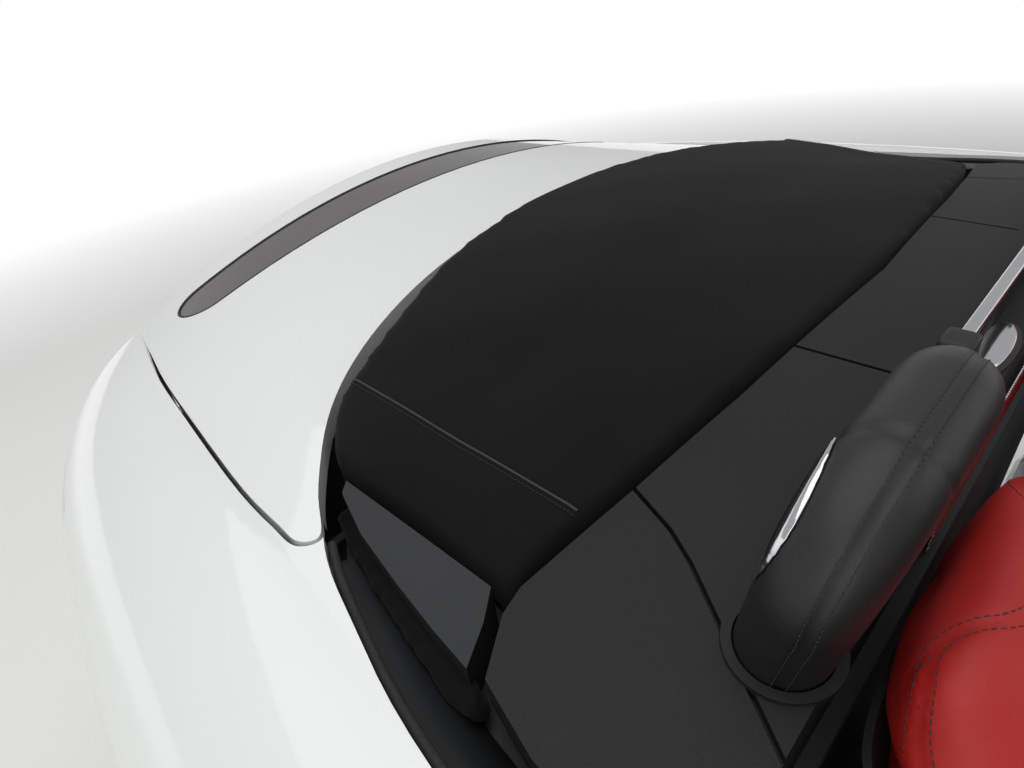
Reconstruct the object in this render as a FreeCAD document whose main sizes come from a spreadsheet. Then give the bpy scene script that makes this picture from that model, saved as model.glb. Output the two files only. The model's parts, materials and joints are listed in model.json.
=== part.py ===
import FreeCAD, Part
import math
import os
from FreeCAD import Vector, Placement, Rotation

# Open two-seat roadster, parked, soft top folded behind the roll hoops.
# Frame: X to the car's left, Y to the rear, Z up from the road, millimetres.

doc = FreeCAD.newDocument("roadster")
sheet = doc.addObject("Spreadsheet::Sheet", "Sizes")

SIZES = {
    # whole car
    "front_end": -2045.0, "rear_end": 2045.0, "body_half": 890.0,
    "front_axle": -1303.0, "rear_axle": 1192.0,
    "front_track": 1473.0, "rear_track": 1523.0,
    # wheels
    "tyre_radius": 317.0, "tyre_width": 225.0, "rim_radius": 214.0, "rim_half": 104.0,
    "arch_radius": 366.0, "disc_radius": 150.0, "disc_thick": 22.0,
    "bolt_circle": 60.0, "bolt_hole": 7.0, "bore_radius": 36.5,
    # panels
    "skin": 24.0, "shut_gap": 5.0, "seam_gap": 0.3, "door_inner": 772.0,
    "door_front": -436.0, "door_rear": 640.0, "sill_top": 322.0, "wing_gap": 9.0,
    "bonnet_rear": -590.0, "bonnet_front": -1900.0,
    "bonnet_half_front": 470.0, "bonnet_half_rear": 640.0,
    "plate_half": 265.0, "plate_z": 560.0, "plate_rise": 58.0, "plate_face": 2012.0, "plate_screws": 290.0,
    "plate_hole": 3.0, "tow_x": -420.0, "tow_z": 470.0, "tow_face": 2000.0, "tow_bore": 8.0,
    "seat_back_y": 446.0, "seat_rake": 28.0, "mirror_x": 905.0, "mirror_z": 972.0,
    "lid_low": 725.0, "well_front": -500.0,
    "lens_half": 543.0, "lens_front": 1826.0, "lens_rear": 1934.0, "lens_sunk": 1.5,
    "tail_low": 690.0, "tail_high": 812.0,
    "bumper_front_rear": -1640.0, "bumper_rear_front": 1575.0,
    "bumper_front_top": 640.0, "bumper_rear_top": 640.0,
    # floor
    "floor_low": 172.0, "floor_thick": 8.0, "floor_half": 700.0,
    "floor_front": -560.0, "floor_rear": 860.0,
    "tunnel_half": 140.0, "tunnel_high": 360.0,
    "boot_floor": 520.0, "boot_half": 560.0, "boot_rear": 1900.0, "bulkhead_top": 863.7,
    "rail_half": 400.0, "rail_width": 65.7, "rail_low": 360.0, "rail_high": 130.0,
    # windscreen
    "screen_radius": 3400.0, "screen_rake": 54.0, "screen_foot_y": -575.0, "screen_foot_z": 950.0,
    "screen_long": 594.0,
    # seats and cockpit
    "seat_pitch": 388.0, "seat_width": 460.0, "seat_front": -60.0, "seat_base": 245.0,
    "seat_top": 420.0, "seat_rear": 420.0,
    "wheel_x": 372.0, "wheel_y": -105.0, "wheel_z": 735.0, "wheel_ring": 182.0,
    "wheel_grip": 15.0, "wheel_tilt": 66.0,
    # steering and doors
    "king_top_x": 580.0, "king_top_z": 672.0, "king_low_x": 698.0, "king_low_z": 210.0,
    "hinge_x": 862.0, "hinge_y": -430.0, "pin_radius": 3.5, "pin_fit": 0.05,
    "lift_pin_x": 150.0, "bonnet_pin_y": -600.0, "bonnet_pin_z": 948.0,
    "lid_pin_x": 641.0, "lid_pin_y": 1292.0, "lid_pin_z": 912.0, "stub_radius": 18.0,
    # folded top, shelf and hoops
    "top_half": 577.0, "top_waist": 568.0, "top_seam_x": 505.0, "tray_top": 872.0, "flap_sunk": 14.0, "seal_sunk": 10.0,
    "seal_gap": 8.0, "seal_wide": 13.0, "seal_front": 1000.0, "top_gap": 4.0, "shelf_front": 862.0, "infill_low": 930.0, "shelf_rear": 1066.0, "shelf_base": 860.0, "shelf_thick": 30.0,
    "trim_sunk": 4.0,
    "hoop_out_x": 500.0, "hoop_flare": 18.0, "hoop_in_x": 326.0, "hoop_foot_y": 903.0, "hoop_top_y": 872.0, "hoop_foot_z": 900.0,
    "hoop_top_z": 1084.0, "hoop_bend": 62.0, "hoop_tube": 31.0, "infill_thick": 6.0,
    "shut_half": 2.0, "shut_depth": 7.0, "collar_rise": 4.0, "collar_width": 7.0,
    "deflector_y": 880.0, "deflector_half": 283.0, "deflector_top": 1046.0,
}

row = 1
for name, value in SIZES.items():
    sheet.set("A%d" % row, name)
    sheet.set("B%d" % row, str(value))
    sheet.setAlias("B%d" % row, name)
    row += 1
doc.recompute()


def size(name):
    return float(sheet.get(name))


NODES = []


def node(label, obj):
    obj.Label = label
    NODES.append(obj)
    return obj


def bind(obj, **places):
    for prop, text in places.items():
        if isinstance(text, str):
            obj.setExpression(prop.replace("__", "."), text)
        else:
            setattr(obj, prop, text)
    return obj


def box(name, length, width, height, x, y, z):
    b = doc.addObject("Part::Box", name)
    for prop, text in (("Length", length), ("Width", width), ("Height", height),
                       ("Placement.Base.x", x), ("Placement.Base.y", y), ("Placement.Base.z", z)):
        b.setExpression(prop, text)
    return b


def fuse(name, parts):
    f = doc.addObject("Part::MultiFuse", name)
    f.Shapes = parts
    return f


def feature(label, shape):
    f = doc.addObject("Part::Feature", label.replace("-", "_"))
    f.Shape = shape
    return node(label, f)


def block(x0, x1, y0, y1, z0, z1):
    return Part.makeBox(x1 - x0, y1 - y0, z1 - z0, Vector(x0, y0, z0))


def plan_prism(points, z0, z1):
    loop = [Vector(x, y, z0) for x, y in points]
    face = Part.Face(Part.makePolygon(loop + [loop[0]]))
    return face.extrude(Vector(0, 0, z1 - z0))


def side_prism(points, x0, x1):
    loop = [Vector(x0, y, z) for y, z in points]
    face = Part.Face(Part.makePolygon(loop + [loop[0]]))
    return face.extrude(Vector(x1 - x0, 0, 0))


def mirrored(shape):
    return shape.mirror(Vector(0, 0, 0), Vector(1, 0, 0))


def both(shape):
    return Part.makeCompound([shape, mirrored(shape)])


def rod(a, b, radius):
    a = Vector(*a)
    b = Vector(*b)
    return Part.makeCylinder(radius, (b - a).Length, a, b - a)


# Body sections, one row a station: half widths and heights of the outer face
STATION = ("y", "low_z", "low_w", "waist_w", "waist_z", "crease_w", "crease_z",
           "shoulder_w", "shoulder_z", "edge_w", "edge_z", "crown_z")
STATIONS = (
    (-2060, 190, 700, 745, 400, 738, 500, 690, 578, 480, 628, 645),
    (-1850, 185, 770, 812, 420, 806, 560, 763, 666, 560, 712, 735),
    (-1500, 182, 825, 866, 450, 860, 630, 812, 764, 610, 802, 828),
    (-1100, 180, 838, 884, 480, 878, 690, 828, 832, 640, 866, 900),
    (-600, 180, 832, 872, 500, 868, 720, 822, 862, 668, 908, 960),
    (0, 180, 830, 870, 520, 868, 735, 822, 872, 715, 915, 975),
    (600, 180, 832, 880, 540, 876, 745, 818, 882, 715, 925, 985),
    (1100, 182, 832, 890, 560, 884, 745, 806, 893, 690, 925, 990),
    (1400, 190, 815, 886, 560, 874, 740, 784, 888, 662, 918, 990),
    (1700, 210, 775, 852, 560, 839, 740, 747, 872, 632, 906, 992),
    (1900, 235, 715, 804, 560, 789, 740, 700, 853, 598, 893, 1004),
    (2060, 260, 640, 740, 560, 722, 735, 646, 820, 556, 876, 1014),
)
# outline of the car from above and from the side: one row a corner of a smooth line
PLAN_FRONT = ((0, -2045), (330, -2030), (540, -1982), (680, -1900), (770, -1780), (850, -1560), (960, -1300))
PLAN_REAR = ((960, 1380), (862, 1600), (806, 1760), (758, 1860), (690, 1928), (590, 1975), (420, 2022), (0, 2045))
SIDE_FRONT = ((-1850, 120), (-1960, 190), (-2032, 300), (-2046, 430), (-2030, 550), (-1990, 640), (-1900, 1100))
SIDE_REAR = ((1985, 1100), (1986, 1012), (1988, 960), (2004, 860), (2034, 720), (2046, 600), (2040, 480),
             (2005, 330), (1940, 120))


def section(values, inset):
    s = dict(zip(STATION, values))
    y = s["y"]
    low = (s["low_w"] - inset, s["low_z"] + inset)
    waist = (s["waist_w"] - inset, s["waist_z"])
    crease = (s["crease_w"] - inset, s["crease_z"] - inset * 0.15)
    shoulder = (s["shoulder_w"] - inset * 0.75, s["shoulder_z"] - inset * 0.66)
    edge = (s["edge_w"] - inset * 0.2, s["edge_z"] - inset)
    crown = Vector(0, y, s["crown_z"] - inset)

    def at(point, side):
        return Vector(side * point[0], y, point[1])

    edges = [Part.makeLine(at(low, -1), at(low, 1)),
             Part.Arc(at(low, 1), at(waist, 1), at(crease, 1)).toShape(),
             Part.Arc(at(crease, 1), at(shoulder, 1), at(edge, 1)).toShape(),
             Part.Arc(at(edge, 1), crown, at(edge, -1)).toShape(),
             Part.Arc(at(edge, -1), at(shoulder, -1), at(crease, -1)).toShape(),
             Part.Arc(at(crease, -1), at(waist, -1), at(low, -1)).toShape()]
    return Part.Wire(edges)


def moved_in(points, inset):
    out = []
    for i, point in enumerate(points):
        before = points[max(i - 1, 0)]
        after = points[min(i + 1, len(points) - 1)]
        run = (after[0] - before[0], after[1] - before[1])
        long = math.hypot(run[0], run[1])
        out.append((point[0] - run[1] / long * inset, point[1] + run[0] / long * inset))
    return out


def smooth_edge(points):
    curve = Part.BSplineCurve()
    curve.interpolate(points)
    return curve.toShape()


def hull(inset):
    loft = Part.makeLoft([section(v, inset) for v in STATIONS], True, False)
    front = moved_in(PLAN_FRONT, inset)
    rear = moved_in(PLAN_REAR, inset)
    front[0] = (0, PLAN_FRONT[0][1] + inset)
    rear[-1] = (0, PLAN_REAR[-1][1] - inset)
    wide = [Vector(-x, y, 100) for x, y in reversed(front[1:])] + [Vector(x, y, 100) for x, y in front]
    back = [Vector(x, y, 100) for x, y in rear] + [Vector(-x, y, 100) for x, y in reversed(rear[:-1])]
    edges = [smooth_edge(wide), Part.makeLine(wide[-1], back[0]), smooth_edge(back),
             Part.makeLine(back[-1], wide[0])]
    plan = Part.Face(Part.Wire(edges)).extrude(Vector(0, 0, 1100))
    nose = moved_in(SIDE_FRONT, -inset)
    tail = moved_in(SIDE_REAR, -inset)
    nose = [Vector(-1000, y, z) for y, z in nose]
    tail = [Vector(-1000, y, z) for y, z in tail]
    edges = [smooth_edge(nose), Part.makeLine(nose[-1], tail[0]), smooth_edge(tail), Part.makeLine(tail[-1], nose[0])]
    side = Part.Face(Part.Wire(edges)).extrude(Vector(2000, 0, 0))
    return loft.common(plan).common(side)


outer = hull(0)
inner = hull(size("skin"))
shell = outer.cut(inner)

gap = size("shut_gap")
seam = size("seam_gap")
front_axle = size("front_axle")
rear_axle = size("rear_axle")
hub_z = size("tyre_radius")
arch = size("arch_radius")
for axle in (front_axle, rear_axle):
    for x0 in (-1000, 480):
        hole = Part.makeCylinder(arch, 520, Vector(x0, axle, hub_z), Vector(1, 0, 0))
        shell = shell.cut(hole)

shell = shell.cut(block(-703, 703, front_axle - 330, rear_axle + 380, 100, 300))
shell = shell.cut(block(-560, 560, rear_axle, 1965, 100, 300))
pin = size("pin_radius")
play = size("pin_fit")
door_front = size("door_front")
door_rear = size("door_rear")
wing_end = door_front - size("wing_gap")
sill_top = size("sill_top")
bonnet_rear = size("bonnet_rear")
bonnet_front = size("bonnet_front")
half_front = size("bonnet_half_front")
half_rear = size("bonnet_half_rear")
lid_low = size("lid_low")
# half outline of the boot lid from above, from its front edge round the corner and along its side
LID_LINE = ((0, 1553), (150, 1545), (320, 1514), (435, 1470), (505, 1428), (555, 1384), (600, 1328), (626, 1288),
            (638, 1264), (649, 1252), (659, 1260), (664, 1290), (664, 1335), (659, 1433), (644, 1592),
            (627, 1745), (603, 1880), (590, 1950), (566, 2090))
# edge of the cockpit and of the well for the folded top
WELL_LINE = ((716, size("well_front")), (716, 700), (712, 900), (703, 1022), (692, 1092), (677, 1153), (656, 1226),
             (630, 1275), (560, 1372), (440, 1460), (320, 1508), (150, 1540), (0, 1549))


def plan_loop(line, grow, z0, z1):
    """A prism on a smooth half outline and its mirror image, grown outwards by grow."""
    from_middle = line[0][0] == 0
    to_middle = line[-1][0] == 0
    half = moved_in(line, -grow)
    if from_middle:
        half[0] = (0, line[0][1] - grow)
    if to_middle:
        half[-1] = (0, line[-1][1] + grow)
    right = [Vector(x, y, z0) for x, y in half]
    left = [Vector(-x, y, z0) for x, y in reversed(half)]
    if from_middle:
        chain = left + right[1:]
    else:
        chain = right + left[1 if to_middle else 0:]
    outline = [smooth_edge(chain)]
    if chain[0].distanceToPoint(chain[-1]) > 0.01:
        outline.append(Part.makeLine(chain[-1], chain[0]))
    return Part.Face(Part.Wire(outline)).extrude(Vector(0, 0, z1 - z0))



def bonnet_outline(grow):
    return [(-half_front - grow, bonnet_front - grow), (0, bonnet_front - 45 - grow),
            (half_front + grow, bonnet_front - grow), (half_rear + grow, bonnet_rear - 60),
            (half_rear - 40 + grow, bonnet_rear + grow), (-half_rear + 40 - grow, bonnet_rear + grow),
            (-half_rear - grow, bonnet_rear - 60)]


# Bonnet and boot lid, the two wide panels that lift
bonnet = shell.common(plan_prism(bonnet_outline(0), 600, 1200))
lift_x = size("lift_pin_x")
bonnet_pin = (size("bonnet_pin_y"), size("bonnet_pin_z"))
lid_pin = (size("lid_pin_y"), size("lid_pin_z"))
for side in (-1, 1):
    for slot_x in (side * lift_x,):
        bonnet = bonnet.cut(block(slot_x - 12, slot_x + 12, bonnet_pin[0] - 14, bonnet_pin[0] + 30, 900,
                                  bonnet_pin[1] + 5.5))
        bonnet = bonnet.cut(rod((slot_x - 30, bonnet_pin[0], bonnet_pin[1]),
                                (slot_x + 30, bonnet_pin[0], bonnet_pin[1]), pin + play))
bonnet_node = feature("bonnet", bonnet)
lid = shell.common(plan_loop(LID_LINE, 0, lid_low, 1200))


def lens_prism(grow):
    """Long lens with round ends across the rear of the lid, from above."""
    half = size("lens_half") + grow
    low = size("lens_front") - grow
    high = size("lens_rear") + grow
    mid = (low + high) / 2
    r = (high - low) / 2
    ends = [Vector(-half + r, low, 700), Vector(half - r, low, 700), Vector(half, mid, 700),
            Vector(half - r, high, 700), Vector(-half + r, high, 700), Vector(-half, mid, 700)]
    edges = [Part.makeLine(ends[0], ends[1]), Part.Arc(ends[1], ends[2], ends[3]).toShape(),
             Part.makeLine(ends[3], ends[4]), Part.Arc(ends[4], ends[5], ends[0]).toShape()]
    return Part.Face(Part.Wire(edges)).extrude(Vector(0, 0, 500))


lens_hole = lens_prism(0)
lid = lid.cut(lens_hole)
lid_pins = size("lid_pin_x")
for side in (-1, 1):
    slot_x = side * lid_pins
    lid = lid.cut(block(slot_x - 9, slot_x + 9, lid_pin[0] - 60, lid_pin[0] + 14, 850, lid_pin[1] + 6))
    lid = lid.cut(rod((slot_x - 14, lid_pin[0], lid_pin[1]), (slot_x + 14, lid_pin[0], lid_pin[1]), pin + play))
lid = max(lid.Solids, key=lambda one: one.Volume)
lid_node = feature("boot_lid", lid)
lens_body = hull(size("lens_sunk")).cut(hull(size("skin") + 8)).common(lens_prism(-seam))
feature("high_stop_lamp", lens_body)

bonnet_hole = plan_prism(bonnet_outline(gap), 595, 1200)
lid_hole = plan_loop(LID_LINE, gap, lid_low - gap, 1200)
well_hole = plan_loop(WELL_LINE, 0, 500, 1200)
rest = shell.cut(bonnet_hole).cut(lid_hole).cut(well_hole)

# Front end
front_split = size("bumper_front_rear")
front_top = size("bumper_front_top")
bumper_side = [(-2100, 150), (-2100, front_top + 60), (-1940, front_top + 60), (front_split, 560),
               (front_split, 150)]
mouth = block(-330, 330, -2100, -1900, 300, 470)
lamp_box = plan_prism([(480, -2100), (480, -1905), (590, -1800), (790, -1640), (900, -1640), (900, -2100)],
                      565, 680)
front_bumper = rest.common(side_prism(bumper_side, -1000, 1000)).cut(mouth)
front_bumper = front_bumper.cut(lamp_box).cut(mirrored(lamp_box))
feature("front_bumper", front_bumper)
lamp_core = plan_prism([(480.3, -2100), (480.3, -1905.3), (590, -1800.5), (790, -1640.5), (900, -1640.5),
                        (900, -2100)], 565.3, 679.7)
lamp = outer.common(lamp_core).cut(hull(40))
feature("headlamps", both(lamp))
wing_side = [(-2100, front_top + 60 + seam), (-1940, front_top + 60 + seam), (front_split + seam, 560 + seam),
             (front_split + seam, 150), (wing_end, 150), (wing_end, 1200), (-2100, 1200)]
wing = rest.common(side_prism(wing_side, 300, 1000)).cut(lamp_box)
wing = wing.cut(block(0, 690.3, bonnet_rear - 30, wing_end + 60, 700, 1300))
hinge_x = size("hinge_x")
hinge_y = size("hinge_y")
for level in (480, 580):
    wing = wing.cut(block(780, hinge_x + 3.3, wing_end - 30, wing_end + 10, level - 10, level + 10))
low_wing = [s for s in wing.Solids if s.Volume > 2.0e5]
wing = Part.makeCompound(low_wing)
feature("front_wing_left", wing)
feature("front_wing_right", mirrored(wing))

# Rear end
rear_split = size("bumper_rear_front")
rear_top = size("bumper_rear_top")
rear_side = [(2100, 150), (2100, rear_top), (1860, rear_top + 20), (rear_split, rear_top - 60),
             (rear_split, 150)]
TAIL = ((614, 2100), (614, 1900), (700, 1830), (760, 1690), (1000, 1690), (1000, 2100))
tail_box = plan_prism(TAIL, size("tail_low"), size("tail_high"))
rear_bumper = rest.common(side_prism(rear_side, -1000, 1000))
pipe_cut = block(-420, -300, 1880, 2100, 150, 300)
rear_bumper = rear_bumper.cut(pipe_cut).cut(mirrored(pipe_cut))
# flat carrier for the number plate, sunk in the bumper, with two screw holes, and a screwed socket for the tow eye
plate_half = size("plate_half")
plate_z = size("plate_z")
plate_face = size("plate_face")
plate_rise = size("plate_rise")
carrier = block(-plate_half - 6, plate_half + 6, plate_face - 14, 2100, plate_z - plate_rise - 6,
                plate_z + plate_rise + 6).common(hull(0))
rear_bumper = rear_bumper.fuse(carrier)
rear_bumper = rear_bumper.cut(block(-plate_half, plate_half, plate_face, 2100, plate_z - plate_rise,
                                    plate_z + plate_rise))
for side in (-1, 1):
    screw_x = side * size("plate_screws") / 2
    rear_bumper = rear_bumper.cut(rod((screw_x, plate_face - 20, plate_z), (screw_x, plate_face + 20, plate_z),
                                      size("plate_hole")))
tow = (size("tow_x"), size("tow_z"))
tow_end = size("tow_face")
socket = rod((tow[0], tow_end - 40, tow[1]), (tow[0], tow_end, tow[1]), 20)
socket = socket.fuse(rod((tow[0], tow_end - 40, tow[1]), (tow[0], tow_end - 34, tow[1]), 26))
rear_bumper = rear_bumper.cut(rod((tow[0], tow_end, tow[1]), (tow[0], 2100, tow[1]), 27)).fuse(socket.common(hull(0)))
rear_bumper = rear_bumper.cut(rod((tow[0], tow_end - 30, tow[1]), (tow[0], tow_end + 60, tow[1]), size("tow_bore")))
rear_bumper = max(rear_bumper.Solids, key=lambda one: one.Volume)
feature("rear_bumper", rear_bumper)
quarter_side = [(2100, rear_top + seam), (1860, rear_top + 20 + seam), (rear_split - seam, rear_top - 60 + seam),
                (rear_split - seam, 150), (door_rear + gap, 150), (door_rear + gap, 1200), (2100, 1200)]
quarter = rest.common(side_prism(quarter_side, 300, 1000)).cut(tail_box)
quarter = Part.makeCompound([s for s in quarter.Solids if s.Volume > 2.0e5])
feature("rear_quarter_left", quarter)
feature("rear_quarter_right", mirrored(quarter))
tail_core = plan_prism([(614 + seam, 2100), (614 + seam, 1900), (700, 1830 + seam), (760, 1690 + seam),
                        (1000, 1690 + seam), (1000, 2100)], size("tail_low") + seam, size("tail_high") - seam)
tail = outer.common(tail_core).cut(hull(40))
feature("tail_lamps", both(tail))

# Doors, sills
door_side = [(door_front, sill_top + gap), (door_rear - 60, sill_top + gap), (door_rear, sill_top + 90),
             (door_rear, 1200), (door_front, 1200)]
door = outer.common(side_prism(door_side, size("door_inner"), 1000))
handle = Part.makeBox(14, 170, 26, Vector(860, 410, 690))
door = door.fuse(handle)
door = door.cut(plan_prism([(700, door_rear - 8), (772, door_rear - 8), (890, door_rear), (890, 700), (700, 700)],
                           100, 1300))
for level in (480, 580):
    door = door.cut(block(700, hinge_x + 4.5, door_front - 10, hinge_y + 24, level - 14, level + 14))
    door = door.cut(rod((hinge_x, hinge_y, level - 30), (hinge_x, hinge_y, level + 30), pin + play))
feature("door_left", door)
feature("door_right", mirrored(door))
sill = outer.common(side_prism([(wing_end + seam, 150), (wing_end + seam, sill_top), (door_rear - 60, sill_top),
                                (door_rear + gap - seam, sill_top + 60), (door_rear + gap - seam, 150)],
                               size("floor_half") + seam, 1000))
for y in (-380, 560):
    sill = sill.fuse(block(730, 800, y - 35, y + 35, 168, 230))
feature("side_sills", both(sill))

# Door posts behind the front wings, with the hinge pins
post_body = hull(size("skin") + seam)
post = post_body.common(block(size("floor_half") + seam, 1000, -575, wing_end, 200, 870))
for level in (480, 580):
    post = post.fuse([block(800, hinge_x - 20, wing_end - 20, hinge_y + 3.5, level - 9, level + 9),
                      block(hinge_x - 21, hinge_x, hinge_y - 3.5, hinge_y + 3.5, level - 9, level + 9),
                      rod((hinge_x, hinge_y, level - 26), (hinge_x, hinge_y, level + 26), pin)])
feature("door_posts", both(post))

# Door mirrors
# station of the shell: place along the car, half width, half height, drop of its middle
MIRROR = ((-352, 34, 22, 6), (-338, 58, 38, 3), (-305, 84, 53, 0), (-262, 92, 57, 0))
mirror_x = size("mirror_x")
mirror_z = size("mirror_z")
rings = []
for y, half_w, half_h, drop in MIRROR:
    oval = Part.Ellipse(Vector(mirror_x + half_w, y, mirror_z - drop), Vector(mirror_x, y, mirror_z - drop + half_h),
                        Vector(mirror_x, y, mirror_z - drop))
    rings.append(Part.Wire([oval.toShape()]))
mirror_head = Part.makeLoft(rings, True, False)
glass_dish = Part.makeBox(2 * 92 - 24, 12, 2 * 57 - 26, Vector(mirror_x - 80, -262 - 5, mirror_z - 44))
glass_dish = glass_dish.makeFillet(30, [e for e in glass_dish.Edges if abs(e.tangentAt(e.FirstParameter).y) > 0.9])
mirror_arm = Part.makeBox(110, 46, 70, Vector(772, -318, mirror_z - 86))
mirror = mirror_head.cut(glass_dish).fuse(mirror_arm).cut(door)
mirror = max(mirror.Solids, key=lambda one: one.BoundBox.ZMax)
mirror.translate(Vector(seam, 0, seam))
feature("mirror_left", mirror)
feature("mirror_right", mirrored(mirror))

# Floor, bulkheads and rails as one welded tub
floor_parts = [
    box("floor_plate", "Sizes.floor_half*2", "Sizes.floor_rear-Sizes.floor_front", "Sizes.floor_thick",
        "-Sizes.floor_half", "Sizes.floor_front", "Sizes.floor_low"),
    box("tunnel_left", "Sizes.floor_thick", "Sizes.floor_rear-Sizes.floor_front",
        "Sizes.tunnel_high-Sizes.floor_low", "Sizes.tunnel_half", "Sizes.floor_front", "Sizes.floor_low"),
    box("tunnel_right", "Sizes.floor_thick", "Sizes.floor_rear-Sizes.floor_front",
        "Sizes.tunnel_high-Sizes.floor_low", "-Sizes.tunnel_half-Sizes.floor_thick", "Sizes.floor_front",
        "Sizes.floor_low"),
    box("tunnel_roof", "Sizes.tunnel_half*2+Sizes.floor_thick*2", "Sizes.floor_rear-Sizes.floor_front",
        "Sizes.floor_thick", "-Sizes.tunnel_half-Sizes.floor_thick", "Sizes.floor_front",
        "Sizes.tunnel_high"),
    box("firewall", "Sizes.floor_half*2", "Sizes.floor_thick", "700", "-Sizes.floor_half",
        "Sizes.floor_front-Sizes.floor_thick", "Sizes.floor_low"),
    box("rear_bulkhead", "Sizes.boot_half*2", "Sizes.floor_thick", "Sizes.bulkhead_top-Sizes.tunnel_high",
        "-Sizes.boot_half", "Sizes.floor_rear-Sizes.floor_thick", "Sizes.tunnel_high"),
    box("bulkhead_foot_left", "Sizes.boot_half-Sizes.tunnel_half", "Sizes.floor_thick",
        "Sizes.tunnel_high-Sizes.floor_low", "Sizes.tunnel_half", "Sizes.floor_rear-Sizes.floor_thick",
        "Sizes.floor_low"),
    box("bulkhead_foot_right", "Sizes.boot_half-Sizes.tunnel_half", "Sizes.floor_thick",
        "Sizes.tunnel_high-Sizes.floor_low", "-Sizes.boot_half", "Sizes.floor_rear-Sizes.floor_thick",
        "Sizes.floor_low"),
    box("boot_plate", "Sizes.boot_half*2", "Sizes.boot_rear-Sizes.floor_rear", "Sizes.floor_thick",
        "-Sizes.boot_half", "Sizes.floor_rear", "Sizes.boot_floor"),
    box("boot_wall_left", "Sizes.floor_thick", "Sizes.boot_rear-Sizes.floor_rear", "Sizes.boot_floor*0.3",
        "Sizes.boot_half-Sizes.floor_thick", "Sizes.floor_rear", "Sizes.boot_floor"),
    box("boot_wall_right", "Sizes.floor_thick", "Sizes.boot_rear-Sizes.floor_rear", "Sizes.boot_floor*0.3",
        "-Sizes.boot_half", "Sizes.floor_rear", "Sizes.boot_floor"),
    box("rail_left", "Sizes.rail_width", "1340", "Sizes.rail_high", "Sizes.rail_half", "-1900",
        "Sizes.rail_low"),
    box("rail_right", "Sizes.rail_width", "1340", "Sizes.rail_high", "-Sizes.rail_half-Sizes.rail_width",
        "-1900", "Sizes.rail_low"),
]
node("floor_tub", fuse("floor_fuse", floor_parts))

# Wheel housings: a half drum with an inner wall over each wheel
drum = arch - 1


def housing(axle, x0, x1):
    wide = Part.makeCylinder(drum + 8, x1 - x0, Vector(x0, axle, hub_z), Vector(1, 0, 0))
    bore = Part.makeCylinder(drum, x1 - x0, Vector(x0 + 6, axle, hub_z), Vector(1, 0, 0))
    keep = block(x0 - 10, x1 + 10, axle - 500, axle + 500, hub_z + 150, 900)
    return wide.cut(bore).common(keep).common(post_body)


king_top = Vector(size("king_top_x"), front_axle, size("king_top_z"))
king_low = Vector(size("king_low_x"), front_axle, size("king_low_z"))
king_dir = (king_top - king_low).normalize()


def on_king(distance_from_top):
    p = king_top - king_dir * distance_from_top
    return (p.x, p.y, p.z)


front_house = housing(front_axle, 466, 900)
front_house = front_house.fuse(rod(on_king(-16), on_king(-42), 24)).cut(rod(on_king(-50), on_king(8), 10 + play))
rear_house = housing(rear_axle, size("boot_half") + seam, 900)
housings = Part.makeCompound([front_house, mirrored(front_house), rear_house, mirrored(rear_house)])
feature("wheel_housings", housings)

# Engine, exhaust
node("engine", box("engine_block", "460", "720", "500", "-230", "-1420", "270.3"))
muffler = Part.makeBox(820, 170, 150, Vector(-410, 1760, 232))
muffler = muffler.makeFillet(40, [e for e in muffler.Edges if e.BoundBox.XLength > 700])
tips = rod((360, 1900, 262), (360, 2040, 262), 38).cut(rod((360, 1950, 262), (360, 2041, 262), 34))
front_pipe = rod((0, -540, 232), (0, 1800, 232), 28)
hanger = block(-6, 6, 1780, 1840, 380, 519.7)
exhaust = muffler.fuse([tips, mirrored(tips), front_pipe, hanger])
feature("exhaust", exhaust)

# Scuttle panel, windscreen
cowl = shell.common(block(-690, 690, bonnet_rear + gap + 3, size("well_front"), 700, 1200))
for side in (-1, 1):
    # post under the pin, foot below the swing of the panel's edge, riser to the scuttle
    lug = block(side * lift_x - 8, side * lift_x + 8, bonnet_pin[0] - 3.5, bonnet_pin[0] + 3.5, bonnet_pin[1] - 28,
                bonnet_pin[1] + 2)
    lug = lug.fuse(block(side * lift_x - 8, side * lift_x + 8, bonnet_pin[0] - 3.5, bonnet_rear + 20,
                         bonnet_pin[1] - 28, bonnet_pin[1] - 15))
    lug = lug.fuse(block(side * lift_x - 8, side * lift_x + 8, bonnet_rear + gap + 3, bonnet_rear + 20,
                         bonnet_pin[1] - 28, bonnet_pin[1]))
    lug_pin = rod((side * lift_x - 26, bonnet_pin[0], bonnet_pin[1]),
                  (side * lift_x + 26, bonnet_pin[0], bonnet_pin[1]), pin)
    cowl = cowl.fuse([lug, lug_pin])
cowl = Part.makeCompound([s for s in cowl.Solids if s.Volume > 1e5])
feature("scuttle_panel", cowl)


def screen_slab(radius_out, radius_in, half_low, half_high, low, high):
    tube = Part.makeCylinder(radius_out, 900, Vector(0, 0, -100)).cut(
        Part.makeCylinder(radius_in, 900, Vector(0, 0, -100)))
    wedge = [Vector(-half_low, -5000, low), Vector(half_low, -5000, low),
             Vector(half_high, -5000, high), Vector(-half_high, -5000, high)]
    prism = Part.Face(Part.makePolygon(wedge + [wedge[0]])).extrude(Vector(0, 4000, 0))
    return tube.common(prism)


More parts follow.
